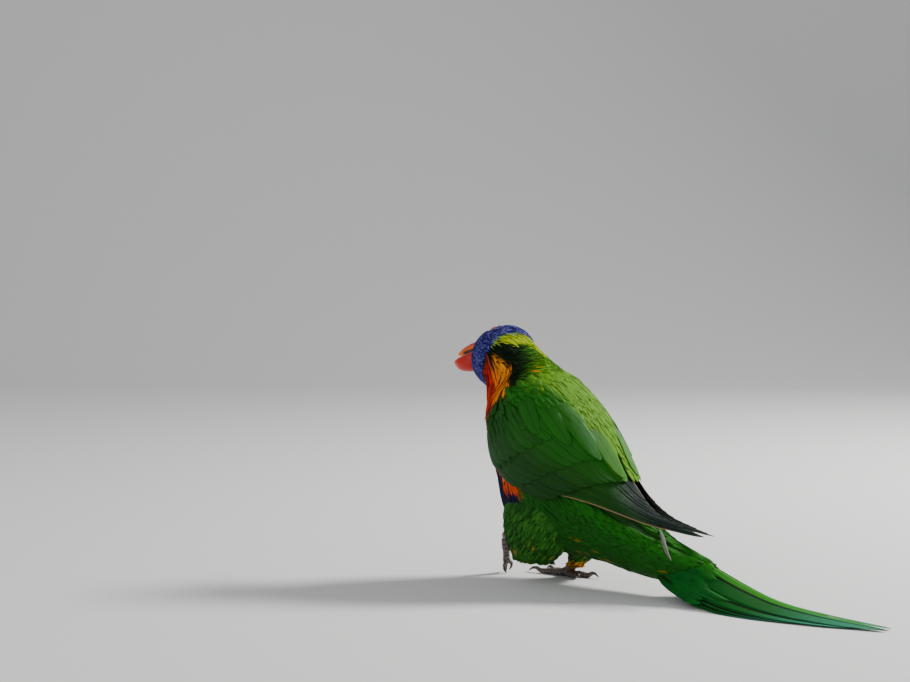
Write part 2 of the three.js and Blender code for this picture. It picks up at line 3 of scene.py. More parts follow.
import bmesh
import bpy
import numpy as np
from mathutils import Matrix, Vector


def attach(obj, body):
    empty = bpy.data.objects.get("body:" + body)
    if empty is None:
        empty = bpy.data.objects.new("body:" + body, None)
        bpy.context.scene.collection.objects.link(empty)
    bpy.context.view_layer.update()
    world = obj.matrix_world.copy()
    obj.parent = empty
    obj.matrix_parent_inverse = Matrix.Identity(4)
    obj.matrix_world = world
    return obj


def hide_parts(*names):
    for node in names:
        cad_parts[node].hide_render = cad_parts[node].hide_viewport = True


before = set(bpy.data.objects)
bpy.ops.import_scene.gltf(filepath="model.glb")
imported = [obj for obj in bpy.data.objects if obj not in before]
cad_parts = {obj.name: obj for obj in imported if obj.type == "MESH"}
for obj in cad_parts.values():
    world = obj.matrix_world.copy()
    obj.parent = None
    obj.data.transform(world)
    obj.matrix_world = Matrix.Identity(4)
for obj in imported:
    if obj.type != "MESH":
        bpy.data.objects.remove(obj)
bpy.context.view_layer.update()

# The skin of the bird, one body from the root of the bill to the rump with the feathered thighs,
# modelled a coat's depth inside the plumage. On a museum model it is one cast form that the
# feathers are set in, painted in the plumage's colours so that nothing pale shows between them.
MILLIMETRE = 0.001
FRAME_MIDDLE_AHEAD = -56.7  # the middle of the bounding box, measured from the mark under the bird
HEAD_MIDDLE = (41.2, 117.2)  # ahead, up
HEAD_YAW = math.radians(11)
HEAD_PITCH = math.radians(5)
HEAD_ROLL = math.radians(58)

# Back or crown [ahead, up], belly or chin [ahead, up], half-width, and degrees of wring
HEAD_SECTIONS = [
    ((16, 5), (14, -10), 7, 0),
    ((13.5, 10.5), (11.5, -13), 11.2, 0),
    ((8, 15), (7.5, -17), 14.2, 0),
    ((0, 17.3), (1.5, -19.6), 16.4, 0),
    ((-8.5, 15.5), (-5, -21), 17.2, 0),
    ((-15, 11), (-9, -21), 16.8, 0),
]
BODY_SECTIONS = [
    ((16, 118.3), (46, 90), 19.5, 38),
    ((7.8, 112.5), (45.5, 80), 24, 20),
    ((-5, 103), (43, 67), 26.5, 6),
    ((-17.5, 92), (38.5, 52), 27.5, 0),
    ((-28.5, 77.5), (33, 32.5), 27.5, 0),
    ((-37, 62), (18, 18.5), 25.5, 0),
    ((-44.5, 49), (-8, 15), 21.5, 0),
    ((-53, 38.5), (-31, 13), 17, 0),
    ((-66, 31.5), (-50, 9), 13.5, 0),
    ((-79, 26), (-67, 7.5), 11, 0),
    ((-96, 20.6), (-80, 9), 4.5, 0),
]
RUMP_END = 16  # the last section


def turned(axis, angle):
    """A rotation about one of the axes, as a 3 by 3 array."""
    one, other = [(1, 2), (2, 0), (0, 1)][axis]
    matrix = np.eye(3)
    matrix[one, one] = matrix[other, other] = math.cos(angle)
    matrix[one, other] = -math.sin(angle)
    matrix[other, one] = math.sin(angle)
    return matrix


head_turn = turned(2, -HEAD_YAW) @ turned(0, -HEAD_PITCH) @ turned(1, -HEAD_ROLL)
head_place = np.array([0, -HEAD_MIDDLE[0], HEAD_MIDDLE[1]], float)


def at(ahead, left, up):
    """Points from their distances ahead, to the left and up, in millimetres."""
    ahead, left, up = np.broadcast_arrays(ahead, left, up)
    return np.stack([left, -ahead, up], axis=-1).astype(float)


def in_head(points):
    """Points of the head's own frame carried into place."""
    return points @ head_turn.T + head_place


def section_ring(section, angle, is_head):
    """The points of one section at angles from the midline of the back, towards the left."""
    top, under, width, wring = section
    turn = angle - math.radians(wring)
    ahead = (top[0] + under[0]) / 2 + (top[0] - under[0]) / 2 * np.cos(turn)
    up = (top[1] + under[1]) / 2 + (top[1] - under[1]) / 2 * np.cos(turn)
    points = at(ahead, width * np.sin(turn), up)
    return in_head(points) if is_head else points


def smooth_run(rings, along):
    """What lies between given rings of numbers or points, read smoothly at places along them."""
    last = len(rings) - 1
    first = np.clip(np.floor(along).astype(int), 0, last - 1)
    part = along - first
    picks = [np.clip(first + step, 0, last) for step in (-1, 0, 1, 2)]
    if rings.ndim > along.ndim + 1:
        part = part[..., None]
        a, b, c, d = [np.take_along_axis(rings, pick[None, ..., None], axis=0)[0] for pick in picks]
    else:
        a, b, c, d = [rings[pick] for pick in picks]
    bend = 2 * a - 5 * b + 4 * c - d
    return b + 0.5 * part * (c - a + part * (bend + part * (3 * (b - c) + d - a)))


class Loft:
    """A form through sections, read at a place along them and an angle round them."""

    def __init__(self, sections, heads=0):
        self.sections = sections
        self.heads = heads

    def __call__(self, along, angle):
        along, angle = np.broadcast_arrays(np.asarray(along, float), np.asarray(angle, float))
        rings = [section_ring(each, angle, index < self.heads) for index, each in enumerate(self.sections)]
        return smooth_run(np.stack(rings), along)


body = Loft(HEAD_SECTIONS + BODY_SECTIONS, heads=len(HEAD_SECTIONS))


def lie(form, along, across, side=1):
    """A form's points, outward normals, and millimetres to one unit along and across."""
    step = 0.01
    back = form(along + step, across) - form(along - step, across)
    over = form(along, across + step) - form(along, across - step)
    normal = np.cross(over, back) * side
    normal /= np.maximum(np.linalg.norm(normal, axis=-1, keepdims=True), 1e-9)
    per_along = np.linalg.norm(back, axis=-1) / (2 * step)
    per_across = np.linalg.norm(over, axis=-1) / (2 * step)
    return form(along, across), normal, per_along, per_across


def blend(low, high, value):
    """Rises smoothly from 0 at low to 1 at high."""
    part = np.clip((value - low) / (high - low), 0, 1)
    return part * part * (3 - 2 * part)


def mixed(one, other, share):
    """One colour turning into another."""
    share = np.asarray(share)[..., None]
    return np.asarray(one) * (1 - share) + np.asarray(other) * share


def linear(red, green, blue):
    """A colour as a scene wants it, from the eight-bit values that a paint chart gives."""
    values = np.array([red, green, blue]) / 255
    return np.where(values < 0.04045, values / 12.92, ((values + 0.055) / 1.055) ** 2.4)


LEAF_GREEN = linear(32, 104, 14)
# A deep green. Down the flanks and towards the wings' lower edges it is painted shade; on the thighs it is
# the feathers' own darker tone.
DEEP_GREEN = linear(20, 72, 16)
# A yellow-green. Over the mantle and the upper part of the wings it is painted sunlight; in the flecks at
# the vent and on the thighs it is the feathers' own colour.
SUN_GREEN = linear(86, 136, 2)
# A nearly black green: the ruff's dark feathers deepened by painted shade, and painted shade on the
# covered webs of wing feathers.
BLACK_GREEN = linear(6, 20, 8)
COLLAR_GREEN = linear(150, 188, 0)
HEAD_BLUE = linear(44, 40, 132)
PALE_BLUE = linear(144, 146, 218)
NIGHT_BLUE = linear(14, 12, 52)
BREAST_RED = linear(208, 44, 4)
BREAST_YELLOW = linear(242, 146, 6)

# Borders across the body, as degrees round from the back and the sections that they lie at
COLLAR_FRONT = ([0, 23, 42, 121, 150, 180], [4.35, 4.75, 5.0, 5.0, 4.7, 4.15])
COLLAR_BACK = ([20, 34, 48, 62, 78, 94, 121], [6.1, 5.88, 5.62, 5.48, 5.43, 5.23, 5.0])
BREAST_TOP = ([100, 125, 150, 180], [5.6, 5.5, 5, 4.3])
BELLY_TOP = ([100, 110, 120, 126, 180], [10.05, 9.95, 9.75, 9.0, 8.6])

# Borders along the body, as sections and the degrees round from the back that they lie at
BREAST_SIDE = ([5.6, 6.1, 7, 8, 9.6], [106, 94, 90, 97, 104])
BELLY_SIDE = ([9.6, 10.2, 10.6, 12], [102, 106, 122, 142])

# Softer borders, as the degrees or sections that a colour comes over, and then those it goes over
# MANTLE_SIDE and MANTLE_ALONG bound the painted sunlight on the mantle.
MANTLE_SIDE = (44, 92)
MANTLE_ALONG = (5.2, 6.3, 9.8, 11)
# FLANK_SIDE: where painted shade deepens the green down the flanks.
FLANK_SIDE = (50, 84)
# RUFF_SIDE and RUFF_END: where the ruff's dark feathers are deepened by painted shade.
RUFF_SIDE = (52, 78)
RUFF_END = (7.0, 7.5)
FLECKS_ALONG = (6.8, 7, 8.2, 8.6)
FLECKS_ROUND = (12, 24, 55, 62)
BREAST_MARGIN = (12, 36)  # degrees within the breast's edge
BREAST_LOWEST = (9.2, 9.5)
BREAST_END = (10, 10.2)
BELLY_END = (11.4, 12)
VENT_SIDE = (100, 116)
VENT_START = (11, 11.8)
COLLAR_LOWEST = (119, 123)
CHEEK_SIDE = (70, 120)

# How far chance carries one feather's colour over a border
FRAYED_ALONG = 0.12
FRAYED_ROUND = 6
RUFF_FRAY = 20
BREAST_FRAY = 14
MARGIN_FRAY = 20


def within(start, full, waning, end, value):
    """Rises from 0 at start to 1 at full, and falls again from waning to 0 at end."""
    return blend(start, full, value) * (1 - blend(waning, end, value))


def beyond(border, place, value, edge):
    """Whether a value lies past a border that is given by places along it, over a soft edge."""
    return blend(*edge, value - np.interp(place, *border))


def from_back(angle):
    """An angle round the body as less than half a turn to either side of the back."""
    return (angle + np.pi) % (2 * np.pi) - np.pi


def back_colours(place, turn, chance):
    """Green, with painted sunlight on the mantle and painted shade down the flanks; the ruff nearly black
    from dark feathers and painted shade, with flecks.
    """
    fray = chance - 0.5
    # painted sunlight on the mantle
    mantle = (1 - blend(*MANTLE_SIDE, turn)) * within(*MANTLE_ALONG, place)
    colour = mixed(LEAF_GREEN, SUN_GREEN, mantle * (0.8 + 0.5 * fray))
    # painted shade down the flanks
    colour = mixed(colour, DEEP_GREEN, blend(*FLANK_SIDE, turn) * 0.75)
    # the ruff's dark feathers, deepened by painted shade under the head and in the bent neck
    ruff = blend(*RUFF_SIDE, turn + RUFF_FRAY * fray) * (1 - blend(*RUFF_END, place))
    colour = mixed(colour, BLACK_GREEN, ruff * 0.95)
    flecks = blend(0.93, 0.94, chance) * within(*FLECKS_ALONG, place) * within(*FLECKS_ROUND, turn)
    return mixed(colour, BREAST_YELLOW, flecks * 0.9)


def with_breast(colour, place, turn, chance):
    """The breast, yellow at its edge and orange-red within, with dark blue bars."""
    fray = chance - 0.5
    inside = turn - BREAST_FRAY * fray
    margin = beyond(BREAST_SIDE, place, inside + MARGIN_FRAY * fray, BREAST_MARGIN)
    breast = mixed(BREAST_YELLOW, BREAST_RED, margin)
    breast = mixed(breast, BREAST_RED, blend(*BREAST_LOWEST, place) * 0.85)
    breast = mixed(breast, NIGHT_BLUE, blend(0.84, 0.9, chance) * 0.93)
    shown = beyond(BREAST_SIDE, place, inside, (-2, 2)) * beyond(BREAST_TOP, turn, place, (-0.1, 0.1))
    return mixed(colour, breast, shown * (1 - blend(*BREAST_END, place)))


def with_belly(colour, place, turn, chance):
    """The dark blue belly, and the yellow flecks round the vent behind it."""
    belly = beyond(BELLY_SIDE, place, turn, (-2, 3)) * beyond(BELLY_TOP, turn, place, (-0.08, 0.08))
    belly = belly * (1 - blend(*BELLY_END, place))
    colour = mixed(colour, NIGHT_BLUE, belly)
    flecks = blend(0.86, 0.9, chance) * blend(0.3, 0.5, np.sin(place * 9 + turn / 9))
    vent = blend(*VENT_SIDE, turn) * blend(*VENT_START, place) * (1 - belly)
    return mixed(colour, mixed(BREAST_YELLOW, SUN_GREEN, 0.4), flecks * vent * 0.4)


def with_head(colour, place, turn, chance):
    """The yellow-green collar, and before it the blue head, streaked paler and darker."""
    collar = (1 - beyond(COLLAR_BACK, turn, place, (-0.03, 0.03))) * (1 - blend(*COLLAR_LOWEST, turn))
    warmth = 0.3 * (1 - blend(0.2, 0.5, chance))
    colour = mixed(colour, mixed(COLLAR_GREEN, BREAST_YELLOW, warmth), collar)
    paler = blend(0.56, 0.66, chance) * (0.75 - 0.35 * blend(*CHEEK_SIDE, turn))
    darker = (1 - blend(0.2, 0.3, chance)) * 0.55
    blue = mixed(mixed(HEAD_BLUE, PALE_BLUE, paler), NIGHT_BLUE, darker)
    return mixed(blue, colour, beyond(COLLAR_FRONT, turn, place, (-0.04, 0.04)))


def body_colours(along, angle, chance):
    """The plumage's colour over head, neck and torso. Chance frays the borders."""
    fray = chance - 0.5
    place = along + fray * FRAYED_ALONG
    turn = np.abs(np.degrees(from_back(angle))) + fray * FRAYED_ROUND
    colour = back_colours(place, turn, chance)
    for layer in (with_breast, with_belly, with_head):
        colour = layer(colour, place, turn, chance)
    return colour


def make_mesh(name, points, faces, material, tints):
    """A mesh object from points in millimetres, painted point by point, on the bird's one body."""
    placed = (points + np.array([0, FRAME_MIDDLE_AHEAD, 0])) * MILLIMETRE
    mesh = bpy.data.meshes.new(name)
    sizes = np.array([len(face) for face in faces])
    corners = np.concatenate(faces)
    mesh.vertices.add(len(placed))
    mesh.vertices.foreach_set("co", placed.astype(np.float32).ravel())
    mesh.loops.add(len(corners))
    mesh.loops.foreach_set("vertex_index", corners.astype(np.int32))
    mesh.polygons.add(len(sizes))
    mesh.polygons.foreach_set("loop_start", (np.cumsum(sizes) - sizes).astype(np.int32))
    mesh.update(calc_edges=True)
    mesh.validate()
    attribute = mesh.color_attributes.new("tint", "FLOAT_COLOR", "POINT")
    rgba = np.concatenate([tints, np.ones((len(tints), 1))], axis=1)
    attribute.data.foreach_set("color", rgba.astype(np.float32).ravel())
    mesh.shade_smooth()
    mesh.materials.append(material)
    piece = bpy.data.objects.new(name, mesh)
    bpy.context.collection.objects.link(piece)
    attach(piece, "root")
    return piece


def ring_faces(rings, around, start=0):
    """Quads between rings of points, and one many-cornered face to close each end."""
    base = np.arange(rings - 1)[:, None] * around + np.arange(around)[None]
    beside = np.arange(rings - 1)[:, None] * around + (np.arange(around)[None] + 1) % around
    quads = np.stack([base, beside, beside + around, base + around], axis=-1).reshape(-1, 4) + start
    ends = [
        list(start + np.arange(around)[::-1]),
        list(start + (rings - 1) * around + np.arange(around)),
    ]
    return [list(quad) for quad in quads] + ends


def tinted(name, roughness, coat=0.0, specular=0.5):
    """A finish whose colour is painted on the piece."""
    material = bpy.data.materials.new(name)
    material.use_nodes = True
    nodes, links = material.node_tree.nodes, material.node_tree.links
    shader = nodes["Principled BSDF"]
    shader.inputs["Roughness"].default_value = roughness
    shader.inputs["Coat Weight"].default_value = coat
    shader.inputs["Specular IOR Level"].default_value = specular
    paint = nodes.new("ShaderNodeAttribute")
    paint.attribute_name = "tint"
    links.new(paint.outputs["Color"], shader.inputs["Base Color"])
    return material


COAT_DEPTH = 1.3  # how far the skin lies inside the plumage
FACE_DEPTH = 0.7  # the same where the feathers are short
FACE_FADE = (3, 6)  # sections that the one turns into the other over
# The skin is painted darker than the plumage over it, as painted shade in the gaps between the feathers.
UNDERCOAT = 0.5  # how bright the skin is painted, against the feathers over it
SKIN_AROUND = 72
SKIN_RINGS = 120
THIGH_RINGS = 18
# Painted shade inside the open mouth, on the skin at the root of the bill
GAPE_SHADE = linear(44, 18, 20)
GAPE_FADE = (0.1, 0.6)  # sections that the dark of the open bill ends over

# Level rings down each leg, as ahead, left, up, half-length and half-width
LEFT_THIGH = [
    (3, 13, 50, 21, 12),
    (4, 14.5, 38, 22.5, 12.5),
    (5.2, 15, 27, 21.3, 11.5),
    (7.2, 14, 18, 17.3, 9.5),
    (10, 12.5, 11.5, 11.5, 6),
]
RIGHT_THIGH = [
    (-8, -12, 44, 16, 11),
    (-7, -13, 32, 15.5, 11),
    (-5, -13, 22, 13, 10),
    (-3, -12.6, 15, 9, 7.5),
    (-0.5, -12.4, 9.5, 6, 5.4),
    (2, -12.3, 6.6, 4, 4),
]
HEM_DROP = 1.2  # how far one step past the last ring hangs down
THIGH_GREEN = linear(44, 106, 28)
SPOTTED = (1.8, 3.2)  # rings that the yellow spots come in over
ANKLE = (3.7, 4.4)  # rings that the right leg's green turns to orange over


class Thigh:
    """A thigh's form through its rings, read at a place down the leg and an angle round it."""

    def __init__(self, rings):
        self.rings = np.array(rings, float)

    def __call__(self, along, angle):
        along, angle = np.broadcast_arrays(np.asarray(along, float), np.asarray(angle, float))
        last = len(self.rings) - 1
        place = np.minimum(along, last)
        ahead, left, up, long, wide = [smooth_run(column, place) for column in self.rings.T]
        hanging = np.maximum(along - last, 0) * HEM_DROP
        return at(ahead + np.cos(angle) * long, left + np.sin(angle) * wide, up - hanging)


thighs = {"left": Thigh(LEFT_THIGH), "right": Thigh(RIGHT_THIGH)}


def thigh_colours(along, angle, chance):
    """Green thighs, streaked lighter and darker, with soft yellow spots towards the hem."""
    colour = mixed(DEEP_GREEN, THIGH_GREEN, blend(0.1, 0.7, chance))
    spots = blend(0.4, 1, np.sin(along * 5 + 1) * np.sin(angle * 4 + 0.6)) * blend(0.3, 0.9, chance)
    return mixed(colour, mixed(BREAST_YELLOW, SUN_GREEN, 0.5), spots * blend(*SPOTTED, along) * 0.65)


def ankle_colours(along, angle, chance):
    """The standing leg's thigh, which ends in orange-yellow feathers round the ankle."""
    ankle = blend(*ANKLE, along) * blend(0.1, 0.5, chance)
    return mixed(thigh_colours(along, angle, chance), BREAST_YELLOW, ankle * 0.85)


def skin_part(form, end, rings, colours, depth, side=1):
    """Points of a form's skin from its start to its end, their colours and their places along."""
    along, angle = np.meshgrid(
        np.linspace(0, end, rings), np.linspace(0, 2 * np.pi, SKIN_AROUND, endpoint=False), indexing="ij"
    )
    points, normal, _, _ = lie(form, along, angle, side)
    points = points - normal * depth(along)[..., None]
    # painted shade: the skin at half the plumage's brightness
    tints = colours(along, angle, np.full(along.shape, 0.5)) * UNDERCOAT
    return points.reshape(-1, 3), tints.reshape(-1, 3), along.ravel()


def body_depth(along):
    """How deep under the feathers the body's skin lies."""
    return FACE_DEPTH + (COAT_DEPTH - FACE_DEPTH) * blend(*FACE_FADE, along)


def thigh_depth(along):
    """How deep under the feathers a thigh's skin lies."""
    return np.full(along.shape, COAT_DEPTH)


points, tints, along = skin_part(body, RUMP_END, SKIN_RINGS, body_colours, body_depth)
skin_points = [points]
# the skin at the root of the bill darkened with the open mouth's painted shade
skin_tints = [mixed(GAPE_SHADE, tints, blend(*GAPE_FADE, along))]
skin_faces = ring_faces(SKIN_RINGS, SKIN_AROUND)
for form in thighs.values():
    last = len(form.rings) - 1
    points, tints, _ = skin_part(form, last, THIGH_RINGS, thigh_colours, thigh_depth, side=-1)
    skin_faces += ring_faces(THIGH_RINGS, SKIN_AROUND, start=sum(len(each) for each in skin_points))
    skin_points.append(points)
    skin_tints.append(tints)
skin = make_mesh(
    "skin", np.concatenate(skin_points), skin_faces, tinted("painted skin", roughness=0.8),
    np.concatenate(skin_tints),
)
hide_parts("head", "neck", "torso", "thigh_left", "thigh_right")


# The small contour feathers that cover head, neck, body and thighs. Each is a thin closed vane,
# raised along its shaft and set in the skin at its root, so that its tip lies over the feathers
# behind it. They were combed to lie backwards from the bill towards the tail.
BODY_ROWS = np.array([0, 0.25, 0.5, 0.74, 0.92, 1])
BODY_OUTLINE = np.array([0.45, 0.85, 1, 0.86, 0.5, 0.12])
HEAD_ROWS = np.array([0, 0.35, 0.75, 1])
HEAD_OUTLINE = np.array([0.6, 1, 0.72, 0.12])
FRAYED_FROM = 0.45  # how far along a vane its end starts to be ragged
UNDERSIDE = -0.7  # how a vane arches below, against its crown above
UNEVEN = 0.08  # how far a feather may lie above or below its neighbours
SEEN_AT = 0.7  # how far along a feather the part is that the next ones leave in sight
PRESSED_BY_FLOOR = ([-1.0, 1.2, 200], [0, 1.2, 200])  # heights, and what the floor makes of them
MAP_MARGIN = 0.01
MAP_PATCH = 0.003  # how much of the map a feather takes up
BARB_SLOPE = -0.5  # how far back a barb starts on the shaft, in vane lengths
BARB_RELIEF = 0.0002
STREAKS_ALONG = 9  # how much the streaks change from a vane's root to its tip
FEATHERS_APART = (40, 90)  # how far apart the streaks of two feathers are taken from


def plumage(name, roughness, shaft, barb, barbs, streak, shaft_wide=0.12):
    """Feather: painted colour, a shaft line, fine slanting barbs and uneven streaks along them."""
    material = tinted(name, roughness, specular=0.12)
    nodes, links = material.node_tree.nodes, material.node_tree.links
    shader = nodes["Principled BSDF"]
    paint = next(node for node in nodes if node.type == "ATTRIBUTE")
    vane = nodes.new("ShaderNodeAttribute")
    vane.attribute_name = "vane"
    split = nodes.new("ShaderNodeSeparateXYZ")
    links.new(vane.outputs["Vector"], split.inputs[0])
    across, along, chance = split.outputs

    def reckon(operation, *values):
        node = nodes.new("ShaderNodeMath")
        node.operation = operation
        for socket, value in zip(node.inputs, values):
            if isinstance(value, (int, float)):
                socket.default_value = value
            else:
                links.new(value, socket)
        return node.outputs[0]

    off_shaft = reckon("ABSOLUTE", across)
    barb_place = reckon("MULTIPLY_ADD", off_shaft, BARB_SLOPE, along)
    wave = reckon("SINE", reckon("MULTIPLY", barb_place, 2 * math.pi * barbs))
    where = nodes.new("ShaderNodeCombineXYZ")
    streak_place = reckon("MULTIPLY", barb_place, STREAKS_ALONG)
    links.new(reckon("MULTIPLY_ADD", chance, FEATHERS_APART[0], streak_place), where.inputs[0])
    links.new(across, where.inputs[1])
    links.new(reckon("MULTIPLY", chance, FEATHERS_APART[1]), where.inputs[2])
    noise = nodes.new("ShaderNodeTexNoise")
    noise.inputs["Scale"].default_value = 1.3
    noise.inputs["Detail"].default_value = 3
    links.new(where.outputs[0], noise.inputs["Vector"])
    uneven = reckon("MULTIPLY_ADD", noise.outputs["Fac"], 2 * streak, 1 - streak)
    lined = reckon("MULTIPLY_ADD", wave, barb, uneven)
    near_shaft = nodes.new("ShaderNodeMapRange")
    near_shaft.inputs["From Min"].default_value = shaft_wide / 3
    near_shaft.inputs["From Max"].default_value = shaft_wide
    near_shaft.inputs["To Min"].default_value = 1 - shaft
    near_shaft.inputs["To Max"].default_value = 1
    links.new(off_shaft, near_shaft.inputs["Value"])
    shade = nodes.new("ShaderNodeVectorMath")
    shade.operation = "SCALE"
    links.new(paint.outputs["Vector"], shade.inputs[0])
    links.new(reckon("MULTIPLY", lined, near_shaft.outputs["Result"]), shade.inputs["Scale"])
    links.new(shade.outputs["Vector"], shader.inputs["Base Color"])
    bump = nodes.new("ShaderNodeBump")
    bump.inputs["Strength"].default_value = 0.3
    bump.inputs["Distance"].default_value = BARB_RELIEF
    links.new(wave, bump.inputs["Height"])
    links.new(bump.outputs["Normal"], shader.inputs["Normal"])
    return material


JITTER = 0.3  # how far a root may stray, against the distance to the next
ROW_STEPS = 97


def scattered(form, stretch, across, spacing, rng):
    """Roots in staggered rows, evenly spaced by real distance along and round a form."""
    along, end = stretch
    steps = np.linspace(*across, ROW_STEPS)
    rows = []
    stagger = 0
    while along < end:
        _, _, per_along, per_across = lie(form, np.full(ROW_STEPS, along), steps)
        run = np.concatenate([[0], np.cumsum((per_across[1:] + per_across[:-1]) / 2 * np.diff(steps))])
        count = max(int(run[-1] / spacing[1]), 1)
        wanted = (np.arange(count) + stagger + rng.uniform(-JITTER, JITTER, count)) / count
        angle = np.interp((wanted % 1) * run[-1], run, steps)
        shift = rng.uniform(-JITTER, JITTER, count) * spacing[0] / np.interp(angle, steps, per_along)
        rows.append([along + shift, angle])
        along += spacing[0] / np.median(per_along)
        stagger = 0.5 - stagger
    return np.concatenate(rows, axis=1)


def feather_coat(
    name, form, root, tip, width, lifts, tints, material, slot, seed, side=1, rows=BODY_ROWS,
    outline=BODY_OUTLINE, columns=5, crown=0.18, tilt=0.0, ragged=0.12, fray=0.07, shaft_at=0.0,
    patch=MAP_PATCH,
):
    """One joined mesh of closed vanes, each lying on a form from its root to its tip.

    Roots and tips are places along and across the form. The lifts are heights above it at the
    root, half-way and at the tip. In the code u runs from edge to edge of a vane, v along it.
    """
    rng = np.random.default_rng(seed)
    count, lines = len(root[0]), len(rows)
    around = 2 * columns - 2
    order = np.concatenate([np.arange(columns), np.arange(columns - 2, 0, -1)])
    u = np.linspace(-1, 1, columns)[order]
    upper = np.concatenate([np.ones(columns), UNDERSIDE * np.ones(columns - 2)])
    v = rows[None, :, None]
    torn = rng.uniform(-fray, fray, (count, 1, columns))[..., order]
    reach = v + torn * blend(FRAYED_FROM, 1, v)
    place = root[0][:, None, None] + (tip[0] - root[0])[:, None, None] * reach
    middle = root[1][:, None, None] + (tip[1] - root[1])[:, None, None] * reach
    _, _, _, per_across = lie(form, place, middle, side)
    narrowed = 1 - rng.uniform(0, ragged, (count, lines, 1)) * (v > FRAYED_FROM)
    half = np.broadcast_to(width, count)[:, None, None] / 2 * outline[None, :, None] * narrowed
    points, normal, _, _ = lie(form, place, middle + half * u / per_across, side)
    low, half_way, high = [np.broadcast_to(each, count)[:, None, None] for each in lifts]
    rise = np.where(v < 0.5, low + (half_way - low) * v * 2, half_way + (high - half_way) * (v * 2 - 1))
    rise = rise + rng.uniform(-UNEVEN, UNEVEN, (count, 1, 1))
    arch = (1 - u**2) * crown * upper * (0.4 + 0.6 * outline[None, :, None])
    heights = rise + arch + tilt * u * v
    vertices = (points + normal * heights[..., None]).reshape(-1, 3)
    vertices[:, 2] = np.interp(vertices[:, 2], *PRESSED_BY_FLOOR)
    ring = np.arange(count * lines * around).reshape(count, lines, around)
    near, far = ring[:, :-1], ring[:, 1:]
    quads = np.stack([near, np.roll(near, -1, 2), np.roll(far, -1, 2), far], axis=-1).reshape(-1, 4)
    caps = [
        end[:, [0, corner, corner + 1, corner + 2]]
        for end in (ring[:, 0, ::-1], ring[:, -1])
        for corner in range(1, around - 2, 2)
    ]
    faces = np.concatenate([quads, *caps])
    if side < 0:
        faces = faces[:, ::-1]
    seen = [start + SEEN_AT * (end - start) for start, end in zip(root, tip)]
    shades = np.broadcast_to(tints(u[None, None], v, *seen, rng), (count, lines, around, 3))
    piece = make_mesh(name, vertices, faces, material, shades.reshape(-1, 3))
    mesh = piece.data
    local = np.zeros((count, lines, around, 3))
    local[..., 0] = u - np.broadcast_to(shaft_at, count)[:, None, None]
    local[..., 1] = v[..., 0][..., None]
    local[..., 2] = rng.uniform(0, 1, (count, 1, 1))
    attribute = mesh.attributes.new("vane", "FLOAT_VECTOR", "POINT")
    attribute.data.foreach_set("vector", local.astype(np.float32).ravel())
    chart = np.stack(root, axis=-1)
    chart = MAP_MARGIN + (1 - 2 * MAP_MARGIN) * (chart - chart.min(0)) / (np.ptp(chart, axis=0) + 1e-6)
    chart = chart[:, None, None] + (local[..., :2] * [0.4, 1] - [0, 0.5]) * patch
    corner = np.zeros(len(mesh.loops), np.int32)
    mesh.loops.foreach_get("vertex_index", corner)
    unwrap = mesh.uv_layers.new(name="OFBake")
    unwrap.uv.foreach_set("vector", chart.reshape(-1, 2)[corner].astype(np.float32).ravel())
    return piece


# Painted shade at a feather's covered root, rising to a slight painted highlight at its tip
ROOT_SHADE = 0.7
TIP_HIGHLIGHT = 1.08


def coat_tints(colours):
    """Each feather in the colour of its own place on the bird, with painted shade where the next ones
    cover it and a slight painted highlight at its tip.
    """

    def tints(u, v, along, across, rng):
        chance = rng.uniform(0, 1, len(along))
        base = colours(along, across, chance)
        tone = rng.uniform(0.86, 1.12, (len(along), 1))
        # painted shade at the covered root, painted highlight at the tip
        shade = ROOT_SHADE + (TIP_HIGHLIGHT - ROOT_SHADE) * blend(0.05, SEEN_AT, v) + 0 * u
        return (base * tone)[:, None, None] * shade[..., None]

    return tints


def under_wing(along, across):
    """Whether a place on the body is well covered by a folded wing."""
    turn = np.degrees(np.abs(from_back(across)))
    stations = [6.9, 7.6, 8, 9, 10, 11, 12, 13]
    inner = np.interp(along, stations, [90, 56, 46, 38, 30, 24, 22, 20])
    lower = np.interp(along, stations, [90, 92, 98, 102, 86, 62, 50, 40])
    return (turn > inner) & (turn < lower)


EYE_PLACE = (5, 10, 4)  # ahead, left and up in the head's frame
EYE_AIM = (0.42, 0.9, 0.1)
EYE_RADIUS = 4.4
EYE_SKIN = 4.6  # bare ring round the eye


def eye_middle(side):
    """The middle of an eyeball, and the way that it looks."""
    middle = in_head(at(EYE_PLACE[0], side * EYE_PLACE[1], EYE_PLACE[2]))
    aim = at(EYE_AIM[0], side * EYE_AIM[1], EYE_AIM[2]) @ head_turn.T
    return middle, aim / np.linalg.norm(aim)


def at_the_eye(along, across):
    """Whether a place on the head is on the bare skin round an eye."""
    points = body(along, across)
    near = np.zeros(points.shape[:-1], bool)
    for side in (1, -1):
        middle, aim = eye_middle(side)
        offset = points - middle
        out = offset @ aim
        radial = np.linalg.norm(offset - out[..., None] * aim, axis=-1)
        near |= (out > 0) & (radial < EYE_SKIN)
    return near


def no_sweep(along, turn):
    """Feathers that lie straight back."""
    return 0 * along


NAPE_SWEEP = 1.1  # radians off the way straight back
BREAST_SWEEP = 1.8
CHEEK_ROUND = (25, 45, 118, 140)
CHEEK_START = (3.8, 4.6)
ORANGE_ROUND = (86, 102, 130, 160)
ORANGE_START = (5.3, 5.8)
NECK_END = (6.4, 7.4)


def neck_sweep(along, turn):
    """Behind the cheek they lie round the bent neck to the nape, but the orange ones to the breast."""
    to_nape = NAPE_SWEEP * within(*CHEEK_ROUND, turn) * blend(*CHEEK_START, along)
    to_breast = BREAST_SWEEP * within(*ORANGE_ROUND, turn) * blend(*ORANGE_START, along)
    return (to_breast - to_nape) * (1 - blend(*NECK_END, along))


